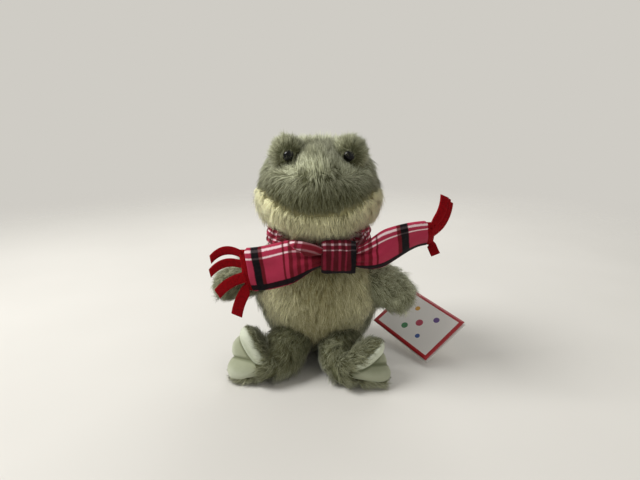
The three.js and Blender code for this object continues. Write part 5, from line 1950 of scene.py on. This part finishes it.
@dataclass
class HangTag:
    """A folded card that lies beside the toy."""

    width: float = 48
    length: float = 68
    card: float = 0.6
    spread: float = 2.6
    fold_gap: float = 0.5
    floor_gap: float = 0.5
    leaf_rows: int = 30
    fold_rows: int = 7
    columns: int = 25
    plain_height: float = 10  # where the map's card is plain, for the back leaf
    corner: tuple[float, float] = (88, -27)
    angles: Triple = (-42.8, 33.3, 73.8)

    def axes(self) -> tuple[Array, Array, Array]:
        """The card's own ways: across it, along it, and out of its printed face."""

        def turn(degrees: float, first: int, second: int) -> Array:
            """The matrix that turns one axis towards another."""
            m = np.eye(3)
            c, s = np.cos(np.radians(degrees)), np.sin(np.radians(degrees))
            m[first, first] = m[second, second] = c
            m[first, second], m[second, first] = -s, s
            return m

        whole = turn(self.angles[0], 0, 1) @ turn(self.angles[1], 1, 2) @ turn(self.angles[2], 0, 1)
        return whole[:, 0], whole[:, 1], whole[:, 2]

    def build(self, finishes: Finishes) -> None:
        """Makes the two leaves and the fold of the card in one closed form."""
        across, along, face = self.axes()
        pack = self.card * 2 + self.fold_gap
        drop = (self.spread + self.card) * face[2] + self.card * 2
        corner = np.array([*self.corner, self.floor_gap + drop])
        # The profile runs up the front leaf, round the fold and down the back leaf.
        leaf = np.linspace(0, 1, self.leaf_rows)
        fold = np.linspace(0, np.pi, self.fold_rows + 2)[1:-1]
        radius = (pack - self.card) / 2
        straight = self.length - pack / 2
        y = np.concatenate([leaf * straight, straight + radius * np.sin(fold), leaf[::-1] * straight])
        z = -self.card / 2 - np.concatenate([0 * leaf, radius * (1 - np.cos(fold)),
                                             2 * radius + self.spread * (1 - leaf[::-1]) ** 1.5])
        x = np.linspace(0, self.width, self.columns)
        middle = corner + x[None, :, None] * across + y[:, None, None] * along + z[:, None, None] * face
        printed = np.concatenate([leaf * self.length, np.full(self.fold_rows, self.length),
                                  np.full(self.leaf_rows, self.plain_height)])
        uv = np.stack(np.broadcast_arrays(x[None, :], printed[:, None]), axis=-1) / MAP_SPAN
        uv[self.leaf_rows + self.fold_rows:, :, 0] = self.width / 2 / MAP_SPAN
        slab = Surface.slab(middle, np.full(middle.shape[:2], self.card), uv)
        piece = slab.piece("hang_tag_card", finishes.get(Card("printed_white_card", self.width, self.length)))
        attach(piece, "tag")
        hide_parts("hang_tag")


@dataclass
class Studio:
    """The camera, the floor, and the soft light."""

    lens: float = 26.0
    camera_at: Triple = (0.001, -0.370, 0.199)
    pitch: float = 15.0
    floor_colour: str = "#d6d3cc"
    sky: float = 0.37
    key_power: float = 14.0

    def build(self) -> None:
        """Sets the camera, the lights, the floor and the world."""
        scene = bpy.context.scene
        scene.view_settings.view_transform = "Standard"
        data = bpy.data.cameras.new("camera")
        data.lens = self.lens
        data.sensor_width = 36.0
        data.clip_start = 0.01
        camera = bpy.data.objects.new("camera", data)
        camera.location = self.camera_at
        camera.rotation_euler = (np.radians(90 - self.pitch), 0, 0)
        scene.collection.objects.link(camera)
        scene.camera = camera
        self.lamp("key_light", (-0.8, -0.12, 1.0), 0.55, self.key_power)
        self.lamp("fill_light", (0.8, -0.7, 0.6), 1.0, self.key_power * 0.12)
        self.lamp("back_light", (0.3, 0.95, 0.8), 0.9, self.key_power * 0.4)
        self.floor()
        self.world()

    def lamp(self, name: str, at: Triple, size: float, power: float) -> None:
        """Adds a square soft lamp that points at the toy."""
        data = bpy.data.lights.new(name, "AREA")
        data.size = size
        data.energy = power
        lamp = bpy.data.objects.new(name, data)
        lamp.location = at
        aim = Vector((0, 0, 0.09)) - Vector(at)
        lamp.rotation_euler = aim.to_track_quat("-Z", "Y").to_euler()
        bpy.context.scene.collection.objects.link(lamp)

    def floor(self) -> None:
        """A wide plain floor that fades into the background."""
        half = 3000.0
        corners = np.array([[-half, -half, 0], [half, -half, 0], [half, half, 0], [-half, half, 0]])
        plane = Surface(corners, np.arange(4), np.array([0]))
        material = bpy.data.materials.new("pale_painted_floor")
        material.use_nodes = True
        tree = material.node_tree
        tree.nodes.clear()
        place = add_node(tree, "TexCoord")
        noise = add_node(tree, "TexNoise", inputs={
            "Vector": place.outputs["Object"], "Scale": 6.0, "Detail": 2.0})
        colour = add_node(tree, "ValToRGB", inputs={0: noise},
                          stops=((0.3, "#d2cfc8"), (0.7, self.floor_colour)))
        shader = add_node(tree, "BsdfPrincipled", inputs={
            "Base Color": colour, "Roughness": 0.7, "Specular IOR Level": 0.2})
        clear = add_node(tree, "BsdfTransparent")
        length = add_node(tree, "VectorMath", {"operation": "LENGTH"}, {0: place.outputs["Object"]})
        fade = add_node(tree, "MapRange", {"interpolation_type": "SMOOTHSTEP"}, {
            "Value": length.outputs[1], "From Min": 0.3, "From Max": 1.1})
        mixed = add_node(tree, "MixShader", inputs={0: fade, 1: shader, 2: clear})
        add_node(tree, "OutputMaterial", inputs={"Surface": mixed})
        floor = plane.piece("studio_floor", material)

    def world(self) -> None:
        """A pale background for what looks at it directly, and an even light for the toy."""
        world = bpy.data.worlds.new("soft_studio")
        bpy.context.scene.world = world
        world.use_nodes = True
        tree = world.node_tree
        tree.nodes.clear()
        light = add_node(tree, "Background", inputs={"Color": linear("#fbfaf6"), "Strength": self.sky})
        seen = add_node(tree, "Background", inputs={"Color": linear("#cfccc5"), "Strength": 1.0})
        path = add_node(tree, "LightPath")
        either = add_node(tree, "Math", {"operation": "MAXIMUM"}, {
            0: path.outputs["Is Camera Ray"], 1: path.outputs["Is Glossy Ray"]})
        mixed = add_node(tree, "MixShader", inputs={0: either, 1: light, 2: seen})
        add_node(tree, "OutputWorld", inputs={"Surface": mixed})


def joint_place(name: str) -> Triple:
    """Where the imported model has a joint, in millimetres."""
    joint = next(j for j in frame["joints"] if j["name"] == name)
    x, y, z = (value / MM for value in joint["pos_m"])
    return x, y, z


def dress_hidden_nodes(finishes: Finishes) -> None:
    """Gives the carried-over solids inside the toy, and the fastener, their own materials."""
    pouch = finishes.get(Wadding("plain_cotton_pouch", "#d8d6cc", "#c4c2b6", patch=0.8))
    nylon = finishes.get(Moulding("clear_nylon", "#e9e9e4", "#dededa", 0.35, ior=1.53))
    for name, node in frame["nodes"].items():
        if "stuffing" in name:
            node.material_slots[0].material = finishes.wadding()
        elif name == "pellet_pouch":
            node.material_slots[0].material = pouch
        elif name == "tag_fastener" or "washer" in name:
            node.material_slots[0].material = nylon


def make_legs() -> tuple[dict[str, Limb], dict[str, list[Toe]]]:
    """The legs and the toes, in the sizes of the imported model.

    Returns:
        The legs by side, and the toes by side.
    """
    legs, feet = {}, {}
    for side, heading, length, end in (("left", -98, 26, 15.4), ("right", -122, 28, 15.6)):
        pivot = joint_place(f"leg_{side}_lift")
        fall = float(np.degrees(np.arcsin((pivot[2] - (end - FLOOR_CUT)) / length)))
        legs[side] = Limb(pivot, heading, fall, length, 16.4, 17.6, end)
    plans = {
        "left": (-64, 14, 12.5, (
            (10, 37, 1.08, (0.6, -0.1, -0.78)), (16, 8, 1, (0.1, -0.8, 0.55)),
            (2, -7, 1.05, (-0.05, -0.22, 0.97)))),
        "right": (-136, 13, 13.5, (
            (158, 58, 1.02, (-0.85, -0.35, -0.4)), (152, 26, 0.96, (-0.25, -0.85, 0.4)),
            (176, -9, 0.92, (-0.25, -0.42, 0.87)))),
    }
    for side, (heading, reach, heel_height, toes) in plans.items():
        heel = legs[side].tip + bearing(heading) * reach
        heel[2] = heel_height
        feet[side] = [Toe(tuple(heel), *toe) for toe in toes]
    return legs, feet


def main() -> None:
    """Builds the toy, one sub-assembly after another."""
    logging.basicConfig(level=logging.INFO, format="%(name)s: %(message)s")
    finishes = Finishes()
    torso = Torso()
    arms = {
        "left": Limb(joint_place("arm_left_raise"), -20, 30, 25, 13.6, 16, 14.6),
        "right": Limb(joint_place("arm_right_raise"), 197, 14, 33, 12.6, 14.4, 12.6),
    }
    legs, feet = make_legs()
    mounds = {"left": Mound((23.5, -15, 170.85)), "right": Mound((-23.5, -15, 170.85))}
    tails = [
        Tail("right", -1.0, 66, 33, -11.5, 5, 6, 2.2, puff=4.0),
        Tail("left", 1.0, 64, 31, 16.5, 6, -42, 1.8, stripe_shift=9.4, puff=4.4),
    ]
    strips = {
        "right": [Strip(0.13, 0.96, -0.16, 0, 0.2, 0.92), Strip(0.37, 1, -0.2, -0.08, 0.2, 0.92),
                  Strip(0.62, 0.88, -0.54, 0, 0.1, 1.15), Strip(0.87, 0.4, -0.92, -0.08, 0.06, 1.25)],
        "left": [Strip(0.2, 0.36, 0.88, 0.12, -0.1), Strip(0.36, 0.44, 0.96, 0.08, -0.14),
                 Strip(0.52, 0.48, 1, 0.04, -0.16), Strip(0.87, 0.2, -0.36, -0.04, 0)],
    }
    Studio().build()
    Body(torso, [*arms.values(), *legs.values()]).build(finishes)
    HeadPieces(Head(), mounds).build(finishes)
    Arms(arms, torso).build(finishes)
    Legs(legs, feet, torso).build(finishes)
    Scarf(torso, tails, strips).build(finishes)
    HangTag().build(finishes)
    dress_hidden_nodes(finishes)


if __name__ == "__main__":
    main()
